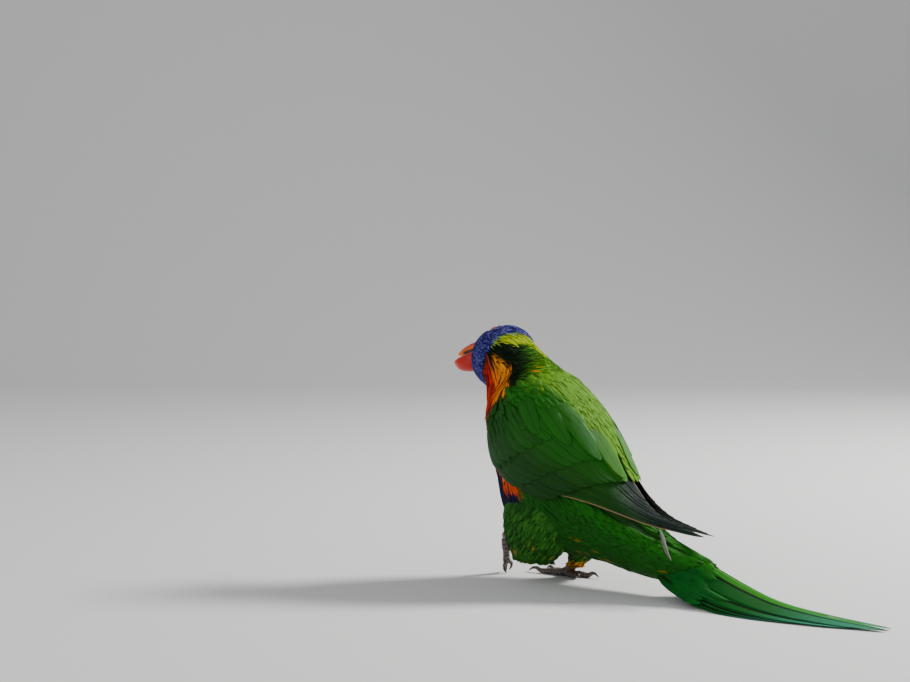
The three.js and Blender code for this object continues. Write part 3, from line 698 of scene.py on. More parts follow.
BROADEST_AT = 0.55  # how far along a feather it covers the most
LENGTHS_VARY = (0.8, 1.2)
WIDTHS_VARY = (0.8, 1.15)
SWEEPS_VARY = 0.1


def coat_patch(name, stretch, spacing, length, width, lifts, sweep, seed, **make):
    """A stretch of the body's coat, left out where the folded wings hide it."""
    rng = np.random.default_rng(seed)
    along, across = scattered(body, stretch, (-np.pi, np.pi), spacing, rng)
    over = along + BROADEST_AT * length / lie(body, along, across)[2]
    shown = ~under_wing(along, across) & ~at_the_eye(along, across) & ~at_the_eye(over, across)
    along, across = along[shown], across[shown]
    count = len(along)
    longer = length * rng.uniform(*LENGTHS_VARY, count)
    wider = width * rng.uniform(*WIDTHS_VARY, count)
    _, _, per_along, per_across = lie(body, along, across)
    turn = from_back(across)
    swept = sweep(along, np.degrees(np.abs(turn))) * np.sign(turn) + rng.normal(0, SWEEPS_VARY, count)
    tip = (
        np.minimum(along + longer * np.cos(swept) / per_along, RUMP_END),
        across + longer * np.sin(swept) / per_across,
    )
    tints = coat_tints(body_colours)
    feather_coat(name, body, (along, across), tip, wider, lifts, tints, seed=seed, **make)


body_plumage = plumage("body plumage", 0.75, shaft=0.08, barb=0.05, barbs=14, streak=0.5)
head_plumage = plumage("head plumage", 0.6, shaft=-0.6, barb=0.04, barbs=6, streak=0.5)
blue = {
    "material": head_plumage, "slot": "blue_plumage",
    "rows": HEAD_ROWS, "outline": HEAD_OUTLINE, "columns": 3, "crown": 0.16,
}
collar = {"material": body_plumage, "slot": "collar_plumage", "crown": 0.12, "fray": 0.1}
green = {"material": body_plumage, "slot": "green_plumage", "crown": 0.12}
BODY_COATS = [
    # name, sections from and to, spacing along and round, length, width, lifts, sweep, how it is made
    ("face_coat", (0.04, 2.4), (0.85, 0.8), 3.0, 1.0, (-0.65, -0.35, -0.12), no_sweep, blue),
    ("crown_coat", (2.3, 5.1), (1.05, 0.9), 4.2, 1.1, (-0.8, -0.4, -0.1), neck_sweep, blue),
    ("ruff_coat", (4.5, 7.2), (1.6, 1.3), 9, 2.0, (-1.4, -0.8, -0.3), neck_sweep, collar),
    ("shoulder_coat", (7.1, 10.2), (2.0, 1.8), 11, 3.2, (-1.5, -0.8, -0.3), no_sweep, green),
    ("belly_coat", (10.1, 13.2), (2.1, 1.9), 12, 3.2, (-1.5, -0.8, -0.3), no_sweep, green),
    ("rump_coat", (13.1, 15.0), (2.2, 2.0), 12, 3.6, (-1.4, -0.9, -0.7), no_sweep, green),
]
for seed, (*measures, make) in enumerate(BODY_COATS, start=11):
    coat_patch(*measures, seed, **make)

THIGH_FEATHERS_START = 0.5
THIGH_SPACING = (2.2, 2.0)
THIGH_FEATHER = (9, 3.2)  # length and width
COMBED_BACK = 3.5  # how far the tips on both sides of a leg are drawn to its rear
HEM_REACH = 0.4  # how much longer the hem is at the rear, and shorter in front
HEM_LIFT = 1.6
for seed, (side_name, form) in enumerate(thighs.items(), start=31):
    rng = np.random.default_rng(seed)
    last = len(form.rings) - 1
    stretch = (THIGH_FEATHERS_START, last - 0.15)
    along, across = scattered(form, stretch, (-np.pi, np.pi), THIGH_SPACING, rng)
    _, _, per_along, per_across = lie(form, along, across, -1)
    count = len(along)
    hem = blend(last - 1.6, last - 0.4, along)
    reach = THIGH_FEATHER[0] * rng.uniform(0.75, 1.2, count) * (1 - HEM_REACH * np.cos(across) * hem)
    combed = -COMBED_BACK * np.sin(across) / np.maximum(per_across, 6)
    tip = (along + reach / np.maximum(per_along, 9), across + combed + rng.normal(0, 0.06, count))
    lifts = (-1.2, -0.5 + 0.5 * hem, 0.1 + HEM_LIFT * hem * rng.uniform(0.5, 1.2, count))
    feather_coat(
        f"thigh_coat_{side_name}", form, (along, across), tip, THIGH_FEATHER[1], lifts,
        coat_tints(ankle_colours if side_name == "right" else thigh_colours), body_plumage,
        "green_plumage", seed, side=-1, fray=0.12,
    )


# The eyes, blown glass with a red iris and a dark pupil painted behind it. They sit in the head
# behind lids of bare dark skin, which are modelled in wax and run round each eye as a soft ring.
IRIS_RED = linear(190, 58, 20)
IRIS_EDGE = linear(84, 20, 10)
PUPIL_BLACK = linear(7, 6, 7)
LID_GREY = linear(40, 38, 46)
PUPIL_TURN = math.radians(23)
IRIS_TURN = math.radians(50)
SIDES = (("left", 1), ("right", -1))
LID_PROFILE = [
    # out from the eye's axis, forward of its middle
    (3.3, 3.0), (3.45, 3.42), (3.85, 3.5), (4.3, 3.15), (4.8, 2.5), (5.1, 1.7), (4.9, 1.0), (4.5, 0.6),
    (4.46, 0.9),
]


def outward(piece):
    """Turns every face of a closed piece to the outside."""
    shape = bmesh.new()
    shape.from_mesh(piece.data)
    bmesh.ops.recalc_face_normals(shape, faces=shape.faces)
    shape.to_mesh(piece.data)
    shape.free()
    return piece


def revolved(middle, aim, profile, around=40):
    """Rings round an axis, one for each (out, forward) pair of a profile."""
    beside = np.cross(aim, [0, 0, 1])
    beside /= np.linalg.norm(beside)
    third = np.cross(aim, beside)
    turn = np.linspace(0, 2 * np.pi, around, endpoint=False)
    circle = np.cos(turn)[:, None] * beside + np.sin(turn)[:, None] * third
    out, forward = np.array(profile, float).T
    return middle + forward[:, None, None] * aim + out[:, None, None] * circle


def rings_mesh(name, rings, material, tints, closed_loop=False):
    """A closed piece through rings of points, its ends capped or joined to each other."""
    count, around = rings.shape[:2]
    points = rings.reshape(-1, 3)
    if closed_loop:
        index = np.arange(count * around).reshape(count, around)
        beside = np.roll(index, -1, 1)
        faces = np.stack([index, beside, np.roll(beside, -1, 0), np.roll(index, -1, 0)], -1).reshape(-1, 4)
    else:
        faces = ring_faces(count, around)
    tints = np.broadcast_to(tints, (count, around, 3)).reshape(-1, 3)
    return outward(make_mesh(name, points, faces, material, tints))


eye_glass = tinted("eye glass", roughness=0.04, coat=1.0)
lid_skin = tinted("lid skin", roughness=0.55)
turn = np.concatenate([np.linspace(0.03, IRIS_TURN, 22), np.linspace(IRIS_TURN + 0.1, np.pi - 0.05, 14)])
eye_profile = np.stack([np.sin(turn), np.cos(turn)], axis=1) * EYE_RADIUS
iris = mixed(PUPIL_BLACK, IRIS_RED, blend(PUPIL_TURN - 0.03, PUPIL_TURN + 0.03, turn))
iris = mixed(iris, IRIS_EDGE, blend(IRIS_TURN - 0.22, IRIS_TURN - 0.02, turn))
for side_name, side in SIDES:
    eye = eye_middle(side)
    ball = rings_mesh(f"eyeball_{side_name}", revolved(*eye, eye_profile), eye_glass, iris[:, None])
    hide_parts(f"eye_{side_name}")
    rings_mesh(f"lids_{side_name}", revolved(*eye, LID_PROFILE), lid_skin, LID_GREY, closed_loop=True)


# The bill, two mandibles of hard red horn with a yellow tip, and the pale cere that the upper one
# grows from, a soft swelling with the nostrils in it. The bird holds it a little open. Each was
# cast in one piece, the horn polished and the cere left dull.
CERE_PLACE = (17, 0, 4.4)
CERE_SIZE = (2.8, 5.2, 2.6)
CERE_RINGS = 60
CERE_AROUND = 80
NOSTRIL = (18.6, 2.3, 6.2)
NOSTRIL_RADIUS = 1.25
NOSTRIL_DEPTH = 0.9
MOUTH_CORNER = (15, -4.3)
BILL_OPEN = math.radians(36)
BILL_RAISE = math.radians(17)
UPPER_SECTIONS = [
    ((16.6, 5.4), (15.4, -4), 6.3, 0),
    ((21.4, 4.2), (18.6, -5), 5.7, 0),
    ((25.8, 1.2), (21.4, -6), 4.8, 0),
    ((29.6, -3.2), (24.6, -7.8), 3.5, 0),
    ((31.2, -8.2), (27.4, -10), 2.2, 0),
    ((31, -12.2), (30, -12), 0.6, 0),
]
LOWER_SECTIONS = [
    ((15.2, -4.6), (13.8, -10.6), 5.9, 0),
    ((19.4, -5), (17.6, -12.8), 5.6, 0),
    ((24, -5), (22.4, -12.8), 4.8, 0),
    ((28.2, -5.2), (27, -11), 3.4, 0),
    ((30.4, -5.4), (30.2, -7.4), 1.6, 0),
]
CERE_PALE = linear(108, 102, 108)
# Painted shade in the nostril pits, in place of the dark inside the holes
NOSTRIL_SHADE = linear(26, 22, 26)
BILL_RED = linear(176, 14, 4)
BILL_ORANGE = linear(214, 52, 4)
BILL_TIP = linear(236, 120, 14)
# Painted shade on the mandibles' inner faces, where the open mouth lies in shadow
MOUTH_SHADE = linear(52, 22, 24)
BILL_AROUND = 48
BILL_RINGS = 56


def mandible(sections, opened, bands):
    """Rings of a mandible, opened about the mouth's corner, and the places that its paint goes by."""
    along, angle = np.meshgrid(
        np.linspace(0, len(sections) - 1, BILL_RINGS),
        np.linspace(0, 2 * np.pi, BILL_AROUND, endpoint=False),
        indexing="ij",
    )
    hinge = at(MOUTH_CORNER[0], 0, MOUTH_CORNER[1])
    points = (Loft(sections)(along, angle) - hinge) @ turned(0, opened).T + hinge
    from_ridge = np.minimum(np.degrees(angle), 360 - np.degrees(angle))
    growth = 0.5 + 0.5 * np.sin(along * bands + np.cos(angle) * 2)
    return in_head(points), along, from_ridge, growth


def upper_colours(along, from_ridge, growth):
    """Red, more orange down the sides, yellow at the tip and the cutting edge, painted shade inside the
    mouth.
    """
    tint = mixed(BILL_RED, BILL_ORANGE, 0.25 * growth + 0.55 * blend(50, 115, from_ridge))
    tint = mixed(tint, BILL_TIP, np.maximum(blend(2.9, 4.5, along), blend(104, 126, from_ridge) * 0.7))
    return mixed(tint, MOUTH_SHADE, blend(132, 150, from_ridge) * (1 - blend(3.6, 4.4, along)))


def lower_colours(along, from_ridge, growth):
    """Red, more orange towards the tip, yellow at the tip and the cutting edge, painted shade inside the
    mouth.
    """
    tint = mixed(BILL_RED, BILL_ORANGE, np.maximum(0.3 * growth, blend(2.2, 3.8, along)))
    cutting_edge = np.exp(-(((from_ridge - 58) / 12) ** 2))
    tint = mixed(tint, BILL_TIP, np.maximum(cutting_edge, blend(3.3, 4, along)) * 0.8)
    return mixed(tint, MOUTH_SHADE, (1 - blend(34, 50, from_ridge)) * (1 - blend(3.2, 3.9, along)))


horn = tinted("red horn", roughness=0.4, coat=0.12, specular=0.35)
MANDIBLES = [
    # name, the solid that it stands for, sections, turn, growth bands, colours
    ("upper_mandible", "bill_upper", UPPER_SECTIONS, -BILL_RAISE, 23, upper_colours),
    ("lower_mandible", "bill_lower", LOWER_SECTIONS, BILL_OPEN, 21, lower_colours),
]
for name, node, sections, opened, bands, colours in MANDIBLES:
    points, *places = mandible(sections, opened, bands)
    piece = rings_mesh(name, points, horn, colours(*places))
    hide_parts(node)

tilt, turn = np.meshgrid(
    np.linspace(0.04, np.pi - 0.04, CERE_RINGS),
    np.linspace(0, 2 * np.pi, CERE_AROUND, endpoint=False),
    indexing="ij",
)
swell = at(np.sin(tilt) * np.cos(turn), np.cos(tilt), np.sin(tilt) * np.sin(turn))
points = swell * [CERE_SIZE[1], CERE_SIZE[0], CERE_SIZE[2]] + at(*CERE_PLACE)
pit = np.zeros(tilt.shape)
for side in (1, -1):
    reach = np.linalg.norm(points - at(NOSTRIL[0], side * NOSTRIL[1], NOSTRIL[2]), axis=-1)
    pit = np.maximum(pit, 1 - blend(0.45 * NOSTRIL_RADIUS, NOSTRIL_RADIUS, reach))
points = in_head(points - swell * pit[..., None] * NOSTRIL_DEPTH)
cere_finish = tinted("cere skin", roughness=0.6)
# the cere pale, with painted shade in the nostril pits
cere = rings_mesh("cere_skin", points, cere_finish, mixed(CERE_PALE, NOSTRIL_SHADE, pit))
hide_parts("cere")


# The folded wings, each in tiers: soft small coverts over the shoulder, then median and greater
# coverts, the green secondaries and the long dark primaries that make the tip. The scapulars fall
# over the wing's upper edge. Every vane is set under the tier in front of it.
WING_SECTIONS = [
    # the back, the breast, half-width, and degrees round to the wing's inner and lower edge
    ((9.5, 114), (48.5, 78.5), 26.5, 58, 90),
    ((1.5, 109.5), (46.5, 71.5), 27.8, 38, 111),
    ((-5.5, 105), (44.5, 65), 28.5, 26, 118),
    ((-18.5, 94), (40, 50.5), 29.5, 20, 117),
    ((-30, 79.5), (30, 34.5), 29.5, 14, 101),
    ((-40, 63.5), (14, 22), 27.5, 9, 78),
    ((-49.5, 50.5), (-12, 20), 23, 7, 63),
    ((-62, 41.5), (-38, 20), 19, 6, 52),
    ((-78, 36.5), (-68, 27), 12, 6, 60),
    ((-89, 33.5), (-85, 28.5), 8.5, 8, 60),
]
wing_wrap = Loft([(top, under, width, 0) for top, under, width, *_ in WING_SECTIONS])
wing_inner, wing_lower = np.array([section[3:] for section in WING_SECTIONS], float).T


def wing_form(side):
    """The outer face of a folded wing, by place along it and across from its inner edge."""

    def form(along, across):
        along, across = np.broadcast_arrays(np.asarray(along, float), np.asarray(across, float))
        inner = smooth_run(wing_inner, along)
        lower = smooth_run(wing_lower, along)
        points = wing_wrap(along, np.radians(inner + (lower - inner) * across))
        return points * [side, 1, 1]

    return form


FLIGHT_ROWS = np.concatenate([np.linspace(0, 0.8, 15), [0.85, 0.9, 0.94, 0.97, 0.99, 1]])
FLIGHT_SHAPE = (
    [0, 0.1, 0.25, 0.5, 0.7, 0.85, 0.94, 0.99, 1],
    [0.5, 0.72, 0.92, 1, 0.93, 0.76, 0.5, 0.2, 0.05],
)
COVERT_SHAPE = (
    [0, 0.1, 0.25, 0.5, 0.8, 0.9, 0.96, 0.99, 1],
    [0.45, 0.72, 0.93, 1, 0.98, 0.82, 0.56, 0.27, 0.08],
)
CREAM_EDGE = linear(200, 160, 120)
NIGHT_TEAL = linear(3, 26, 15)
INNERMOST = 5  # primaries with a cream edge that shows on the wing's upper side
OUTERMOST = 2  # and on its lower side
FLIGHT_VANE = {
    "rows": FLIGHT_ROWS, "columns": 9, "crown": 0.25, "tilt": 0.3, "ragged": 0.03, "fray": 0.008,
    "patch": 0.02,
}
FOLDED_UNDER = 0.6  # how far the right wing's tip lies further down than the left one's
SMALL_COVERTS_OVER = ((0.42, 2.75), (0.05, 0.98))  # places along and across
SMALL_COVERTS_SPACING = (2.2, 2.2)
SMALL_COVERT = (9, 3.4)  # length and width
SMALL_COVERTS_SEED = 61
STRAY = 0.02  # how far a tip lies to one side, in the width of a wing or of half the tail
DEEP_ROOT = 2.4  # how much deeper the roots of the foremost rows are set
DEEP_MIDDLE = 0.5
flight_plumage = plumage("flight plumage", 0.5, shaft=0.3, barb=0.04, barbs=60, streak=0.22)
covert_plumage = plumage("covert plumage", 0.58, shaft=0.06, barb=0.05, barbs=24, streak=0.35)


def wing_green(along, across, chance):
    """The wing's green, yellow with painted sunlight towards the bird's back and deepened by painted shade
    towards its lower edge.
    """
    # painted shade towards the lower edge, varied a little by chance
    colour = mixed(LEAF_GREEN, DEEP_GREEN, blend(0.2, 0.8, across + 0.1 * (chance - 0.5)))
    # painted sunlight on the upper part near the back
    return mixed(colour, SUN_GREEN, (1 - blend(-0.05, 0.14, across)) * 0.75)


def web_green(along, across, rng):
    """The green that each large feather starts from."""
    tone = rng.uniform(0.88, 1.1, (len(along), 1))
    return (wing_green(along, across, rng.uniform(0, 1, len(along))) * tone)[:, None, None]


def web_shade(u, v):
    """Painted shade at the root, where the tier before covers it, and lighter along the lower edge."""
    # painted shade at the covered root
    return (0.65 + 0.35 * blend(0.05, 0.5, v) + 0.14 * blend(0.55, 0.95, u))[..., None]


def primary_tints(u, v, along, across, rng):
    """A primary: green at its root, teal-black towards its end, some with a cream edge."""
    green = web_green(along, across, rng)
    night = mixed(green * 0.55, NIGHT_TEAL, blend(0.3, 0.75, v) + 0 * u)
    colour = mixed(night, green, blend(0.7, 1, np.abs(u)) * 0.35 * (1 - blend(0.6, 0.8, v)))
    number = np.arange(len(along))[:, None, None]
    edge = blend(0.72, 0.98, u) * (number >= len(along) - OUTERMOST)
    edge = edge + blend(0.72, 0.98, -u) * (number < INNERMOST)
    # web_shade gives the primary its painted shade at the root
    return mixed(colour * web_shade(u, v), CREAM_EDGE, edge * (1 - blend(0.75, 0.9, v)) * 0.8)


def web_tints(dark):
    """A secondary, covert or scapular: green, with painted shade on its covered web as strong as the
    tier's share.
    """

    def tints(u, v, along, across, rng):
        green = web_green(along, across, rng)
        # painted shade on the web that the next feather covers
        return mixed(green, BLACK_GREEN, blend(-0.1, 0.6, u) * dark * 0.8 + 0 * v) * web_shade(u, v)

    return tints


WING_TIERS = [
    # name, count, width, lifts, outline, colours,
    # roots of the innermost and the lowest feather along and across, and their tips
    # The number given to web_tints is how strong the painted shade on each covered web is.
    ("primaries", 11, 8, (-1.7, -1.0, -0.4), FLIGHT_SHAPE, primary_tints,
     ((3.6, 3.6), (0.1, 1.02)), ((6.3, 9.2), (-0.12, 0.3))),
    ("secondaries", 11, 8.5, (-1.3, -0.5, 0.0), COVERT_SHAPE, web_tints(0.45),
     ((3.2, 3.0), (0.08, 0.95)), ((5.5, 4.9), (0.06, 0.99))),
    ("greater_coverts", 12, 8, (-1.1, -0.1, 0.2), COVERT_SHAPE, web_tints(0.25),
     ((2.5, 2.3), (0.1, 0.97)), ((4.7, 4.1), (0.08, 1.0))),
    ("median_coverts", 12, 7.5, (-1.0, 0.1, 0.45), COVERT_SHAPE, web_tints(0.12),
     ((1.8, 1.6), (0.1, 0.97)), ((3.7, 3.2), (0.1, 1.0))),
    ("scapulars", 4, 9.5, (-0.6, 0.7, 0.9), FLIGHT_SHAPE, web_tints(0.0),
     ((1.4, 3.2), (0.3, 0.02)), ((3.2, 5.36), (0.46, 0.08))),
]


def tier_ends(ends, count):
    """Places along and across of a tier's feathers, from the inner one to the lowest one."""
    return np.array([np.linspace(first, last, count) for first, last in ends])


def laid_back(form, root, length, rng, side=1, stray=STRAY, least=0):
    """Where the tips of feathers of about one length come to lie, each a little to one side.

    Where the form's sections crowd together they count as at least some millimetres apart.
    """
    _, _, per_along, _ = lie(form, *root, side)
    count = len(root[0])
    reach = length * rng.uniform(0.85, 1.15, count) / np.maximum(per_along, least)
    return root[0] + reach, root[1] + rng.normal(0, stray, count)


def tucked(lifts, along, fade):
    """Lifts for feathers whose foremost rows are set deep, under the feathers before them."""
    low, half_way, high = lifts
    deeper = 1 - blend(*fade, along)
    return low - DEEP_ROOT * deeper, half_way - DEEP_MIDDLE * deeper, high


for side_name, side in SIDES:
    form = wing_form(side)
    for seed, (tier, count, width, lifts, shape, tints, root, tip) in enumerate(WING_TIERS, start=51):
        root, tip = tier_ends(root, count), tier_ends(tip, count)
        if tier == "primaries" and side < 0:
            root[1] += FOLDED_UNDER
            tip[1] += FOLDED_UNDER
        feathers = feather_coat(
            f"{tier}_{side_name}", form, root, tip, width, lifts, tints, flight_plumage, "wing_plumage",
            seed, side=side, outline=np.interp(FLIGHT_ROWS, *shape), **FLIGHT_VANE,
        )
        if tier == "secondaries":
            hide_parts(f"wing_{side_name}")
    rng = np.random.default_rng(SMALL_COVERTS_SEED)
    root = scattered(form, *SMALL_COVERTS_OVER, SMALL_COVERTS_SPACING, rng)
    length, width = SMALL_COVERT
    feather_coat(
        f"small_coverts_{side_name}", form, root, laid_back(form, root, length, rng, side), width,
        tucked((-0.9, 0.1, 0.4), root[0], (0.4, 1.1)), coat_tints(wing_green), covert_plumage,
        "wing_plumage", SMALL_COVERTS_SEED, side=side, crown=0.1, fray=0.08,
    )


# The mantle, the feathers over the middle of the back, yellow-green with painted sunlight. They are set in
# the skin from the nape down to between the wings, and bridge the wings by lying over their inner edges.
MANTLE_OVER = ((0.02, 5.0), (-1.25, 1.25))  # sections of the wings' form, radians round it
MANTLE_EDGE = ([0, 1, 2, 3, 4, 5.2], [68, 48, 35, 27, 21, 14])
MANTLE_LEFT_END = 4.2  # the last feathers lie on the right wing alone
MANTLE_SPACING = (2.3, 2.1)
MANTLE_FEATHER = (11, 3.6)
MANTLE_SEED = 65


def mantle_green(along, across, chance):
    """Yellow-green painted sunlight over the middle of the back, deeper green to both sides."""
    # painted sunlight, strongest over the middle of the back
    return mixed(SUN_GREEN, LEAF_GREEN, blend(0.45, 1.0, np.abs(across) + 0.3 * (chance - 0.5)))


rng = np.random.default_rng(MANTLE_SEED)
root = scattered(wing_wrap, *MANTLE_OVER, MANTLE_SPACING, rng)
edge = np.radians(np.interp(root[0], *MANTLE_EDGE))
kept = (root[1] < np.where(root[0] < MANTLE_LEFT_END, edge, 0)) & (root[1] > -edge - 0.12)
root = root[:, kept]
one_millimetre = 1 / lie(wing_wrap, *root)[3]
tip = laid_back(wing_wrap, root, MANTLE_FEATHER[0], rng, stray=one_millimetre, least=6)
feather_coat(
    "mantle", wing_wrap, root, tip, MANTLE_FEATHER[1], tucked((-0.8, 0, 0.25), root[0], (0.1, 0.8)),
    coat_tints(mantle_green), covert_plumage, "green_plumage", MANTLE_SEED, crown=0.12, fray=0.1,
)


# The tail, six pairs of long feathers under one another on both sides of the ridge. The middle
# pair is the longest and lies on top. Green above with a dark shaft, they are laid out flat, and
# short coverts hide their roots. One grey feather has come loose and hangs over the rump.
TAIL_SECTIONS = [
    # ahead, ridge, edge, half-width, sway
    (-66, 27, 12, 10, 0),
    (-80, 24, 6, 14, 0.5),
    (-96, 19.4, 2.6, 18, 1.5),
    (-113, 13.4, 1.2, 20, 3),
    (-133, 7.4, 0.9, 19, 4),
    (-158, 3.8, 0.7, 16.5, 3),
    (-188, 1.4, 0.7, 8, 1),
]
tail_runs = np.array(TAIL_SECTIONS, float).T
TAIL_PAIRS = 6
TAIL_TIPS = np.array([6, 5.5, 4.8, 4.3, 3.9, 3.6])
TAIL_MIDDLES = np.array([0.29, 0.55, 0.68, 0.78, 0.83, 0.87])
TAIL_WIDTHS = np.array([12, 10, 9, 8, 7, 6])
TAIL_LIFTS = (-0.5, -0.45, -0.4)
TAIL_STEP = 0.5  # how far one pair lies under the next
TAIL_SHAFTS = np.array([-0.3, 0.25, 0.7, 0.7, 0.7, 0.7])  # off the middle of each vane
TAIL_SHAPE = ([0, 0.2, 0.5, 0.75, 0.88, 0.95, 0.99, 1], [0.8, 1, 1, 0.9, 0.7, 0.45, 0.15, 0.04])
TAIL_ROOT = 0.3  # how far along the form all the roots lie
TAIL_VANE = {
    "rows": FLIGHT_ROWS, "columns": 13, "crown": 0.25, "ragged": 0.02, "fray": 0.004, "patch": 0.03,
}
TAIL_SEED = 71
TAIL_COVERTS_OVER = ((0.02, 1.3), (0.02, 0.97))
TAIL_COVERTS_SPACING = (2.8, 2.6)
TAIL_COVERT = (15, 4.2)
TAIL_COVERTS_SEED = 73
# The green of the tail's painted sunlight, on the web within the shaft and along the ridge
TAIL_SUNLIT_GREEN = linear(44, 128, 20)
TAIL_GREEN = linear(14, 88, 24)
TAIL_TEAL = linear(52, 136, 104)
LOOSE_GREY = linear(122, 120, 112)


def tail_form(side):
    """The slope on one side of the tail's ridge, by place along it and out from the ridge."""

    def form(along, across):
        along, across = np.broadcast_arrays(np.asarray(along, float), np.asarray(across, float))
        ahead, ridge, edge, width, sway = [smooth_run(column, along) for column in tail_runs]
        return at(ahead, sway + side * across * width, ridge + (edge - ridge) * across)

    return form


def tail_tints(u, v, along, across, rng):
    """Green lit by painted sunlight within the shaft, deeper green outside it, bluer towards the end."""
    tone = rng.uniform(0.94, 1.06, (len(along), 1, 1, 1))
    # painted sunlight on the web within the shaft
    base = mixed(TAIL_SUNLIT_GREEN, TAIL_GREEN, blend(-0.35, -0.25, u) + 0 * v)
    teal = mixed(base, TAIL_TEAL, blend(0.6, 0.96, v) * blend(-0.9, -0.3, u) * 0.85)
    edge = 1 + 0.35 * blend(0.75, 1, u) + 0 * v
    dark_tip = 1 - 0.75 * blend(0.95, 1, v) + 0 * u
    return teal * tone * (edge * dark_tip)[..., None]


def tail_covert_green(along, across, chance):
    """Green lit by painted sunlight along the ridge like the middle feathers, deeper to the sides."""
    # painted sunlight along the ridge
    return mixed(TAIL_SUNLIT_GREEN, TAIL_GREEN, blend(0.12, 0.3, across + 0.1 * (chance - 0.5)))


tail_plumage = plumage("tail plumage", 0.5, shaft=0.95, barb=0.04, barbs=90, streak=0.2, shaft_wide=0.18)
for side_name, side in SIDES:
    form = tail_form(side)
    lifts = [level - TAIL_STEP * np.arange(TAIL_PAIRS) for level in TAIL_LIFTS]
    feathers = feather_coat(
        f"tail_feathers_{side_name}", form, (np.full(TAIL_PAIRS, TAIL_ROOT), TAIL_MIDDLES),
        (TAIL_TIPS, TAIL_MIDDLES), TAIL_WIDTHS, lifts, tail_tints, tail_plumage, "tail_plumage",
        TAIL_SEED, side=side, outline=np.interp(FLIGHT_ROWS, *TAIL_SHAPE), shaft_at=TAIL_SHAFTS,
        **TAIL_VANE,
    )
    if side > 0:
        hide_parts("tail")
    rng = np.random.default_rng(TAIL_COVERTS_SEED)
    root = scattered(form, *TAIL_COVERTS_OVER, TAIL_COVERTS_SPACING, rng)
    length, width = TAIL_COVERT
    feather_coat(
        f"tail_coverts_{side_name}", form, root, laid_back(form, root, length, rng, side), width,
        (-0.6, 0.1, -0.05), coat_tints(tail_covert_green), body_plumage, "tail_plumage",
        TAIL_COVERTS_SEED, side=side, patch=0.01,
    )


LOOSE_ROOT = (np.array([0.12]), np.array([13.75]))  # radians round the body, section
LOOSE_TIP = (np.array([1.12]), np.array([14.95]))


def round_body(across, along):
    """The body's form with its two directions exchanged, for a feather that lies across it."""
    return body(along, across)


def loose_tints(u, v, along, across, rng):
    """A loose feather, grey with a darker shaft."""
    return LOOSE_GREY * (0.75 + 0.4 * np.abs(u) + 0 * v)[..., None]


feather_coat(
    "loose_feather", round_body, LOOSE_ROOT, LOOSE_TIP, 3.2, (0.5, 1.0, 1.2), loose_tints,
    covert_plumage, "green_plumage", seed=75, side=-1, rows=FLIGHT_ROWS,
    outline=np.interp(FLIGHT_ROWS, *FLIGHT_SHAPE), columns=7,
)


# The feet, dark grey with two toes forward and two back, covered in broad scales along the top of
# each toe and fine ones on the shank. They were cast over wire, and the curved claws are dark horn.
TOE_PROFILE = [
    # how far along in toe lengths, height of the middle, radius
    (0, 3, 2.5),
    (0.3, 1.6, 1.95),
    (0.5, 1.9, 1.65),
    (0.72, 1.35, 1.65),
    (0.88, 1.6, 1.3),
    (1, 2.6, 1.1),
    (1.06, 2.65, 0.7),
]
CLAW_PROFILE = [
    (0.95, 2.2, 0.75),
    (1.05, 2.65, 0.85),
    (1.15, 2.3, 0.66),
    (1.23, 1.3, 0.4),
    (1.27, 0.45, 0.12),
]
FEET = {
    # ball of the foot, shank [ahead, left, up, radius], toes as heading, length and hang in degrees
    "left": (
        (36.8, 3.4, 18.6),
        [(25, 8, 19, 2.5), (31, 6, 21.7, 2.4), (36.2, 3.8, 20.6, 2.6)],
        [(-50, 15, 72), (0, 14.4, 84), (110, 11, 78), (215, 13, 76)],
    ),
    "right": (
        (7, -12.2, 0),
        [(-3, -12.4, 14, 2.5), (1.4, -12.4, 8, 2.3), (6.2, -12.2, 3.8, 2.5)],
        [(8, 19, 0), (-18, 16, 0), (158, 10, 0), (196, 14, 0)],
    ),
}
SCALE_LENGTH = 1.5
SCALE_STEPS = 6  # rings to one scale
SCALE_STEP_IN = 0.12  # how far a scale's root lies within the end of the one before, against the radius
CELLS = 1100  # to a metre
CELL_RELIEF = 0.0002
SHANK_RINGS = 18
CLAW_RINGS = 24
FOOT_GREY = linear(104, 88, 80)
SCALE_EDGE = linear(44, 36, 34)
CLAW_BLACK = linear(22, 20, 22)
CLAW_TIP = linear(60, 52, 46)


def toe_run(ball, heading, length, hang, profile):
    """Middles and radii of a toe or claw, from its profile along the way that the toe points."""
    along, up, radius = np.array(profile, float).T
    out = along * length
    over = up - (TOE_PROFILE[0][1] if hang else 0)
    drop, way = math.radians(hang), math.radians(heading)
    level = out * math.cos(drop) + over * math.sin(drop)
    high = over * math.cos(drop) - out * math.sin(drop)
    middle = at(ball[0] + level * math.cos(way), ball[1] + level * math.sin(way), ball[2] + high)
    return np.concatenate([middle, radius[:, None]], axis=1)


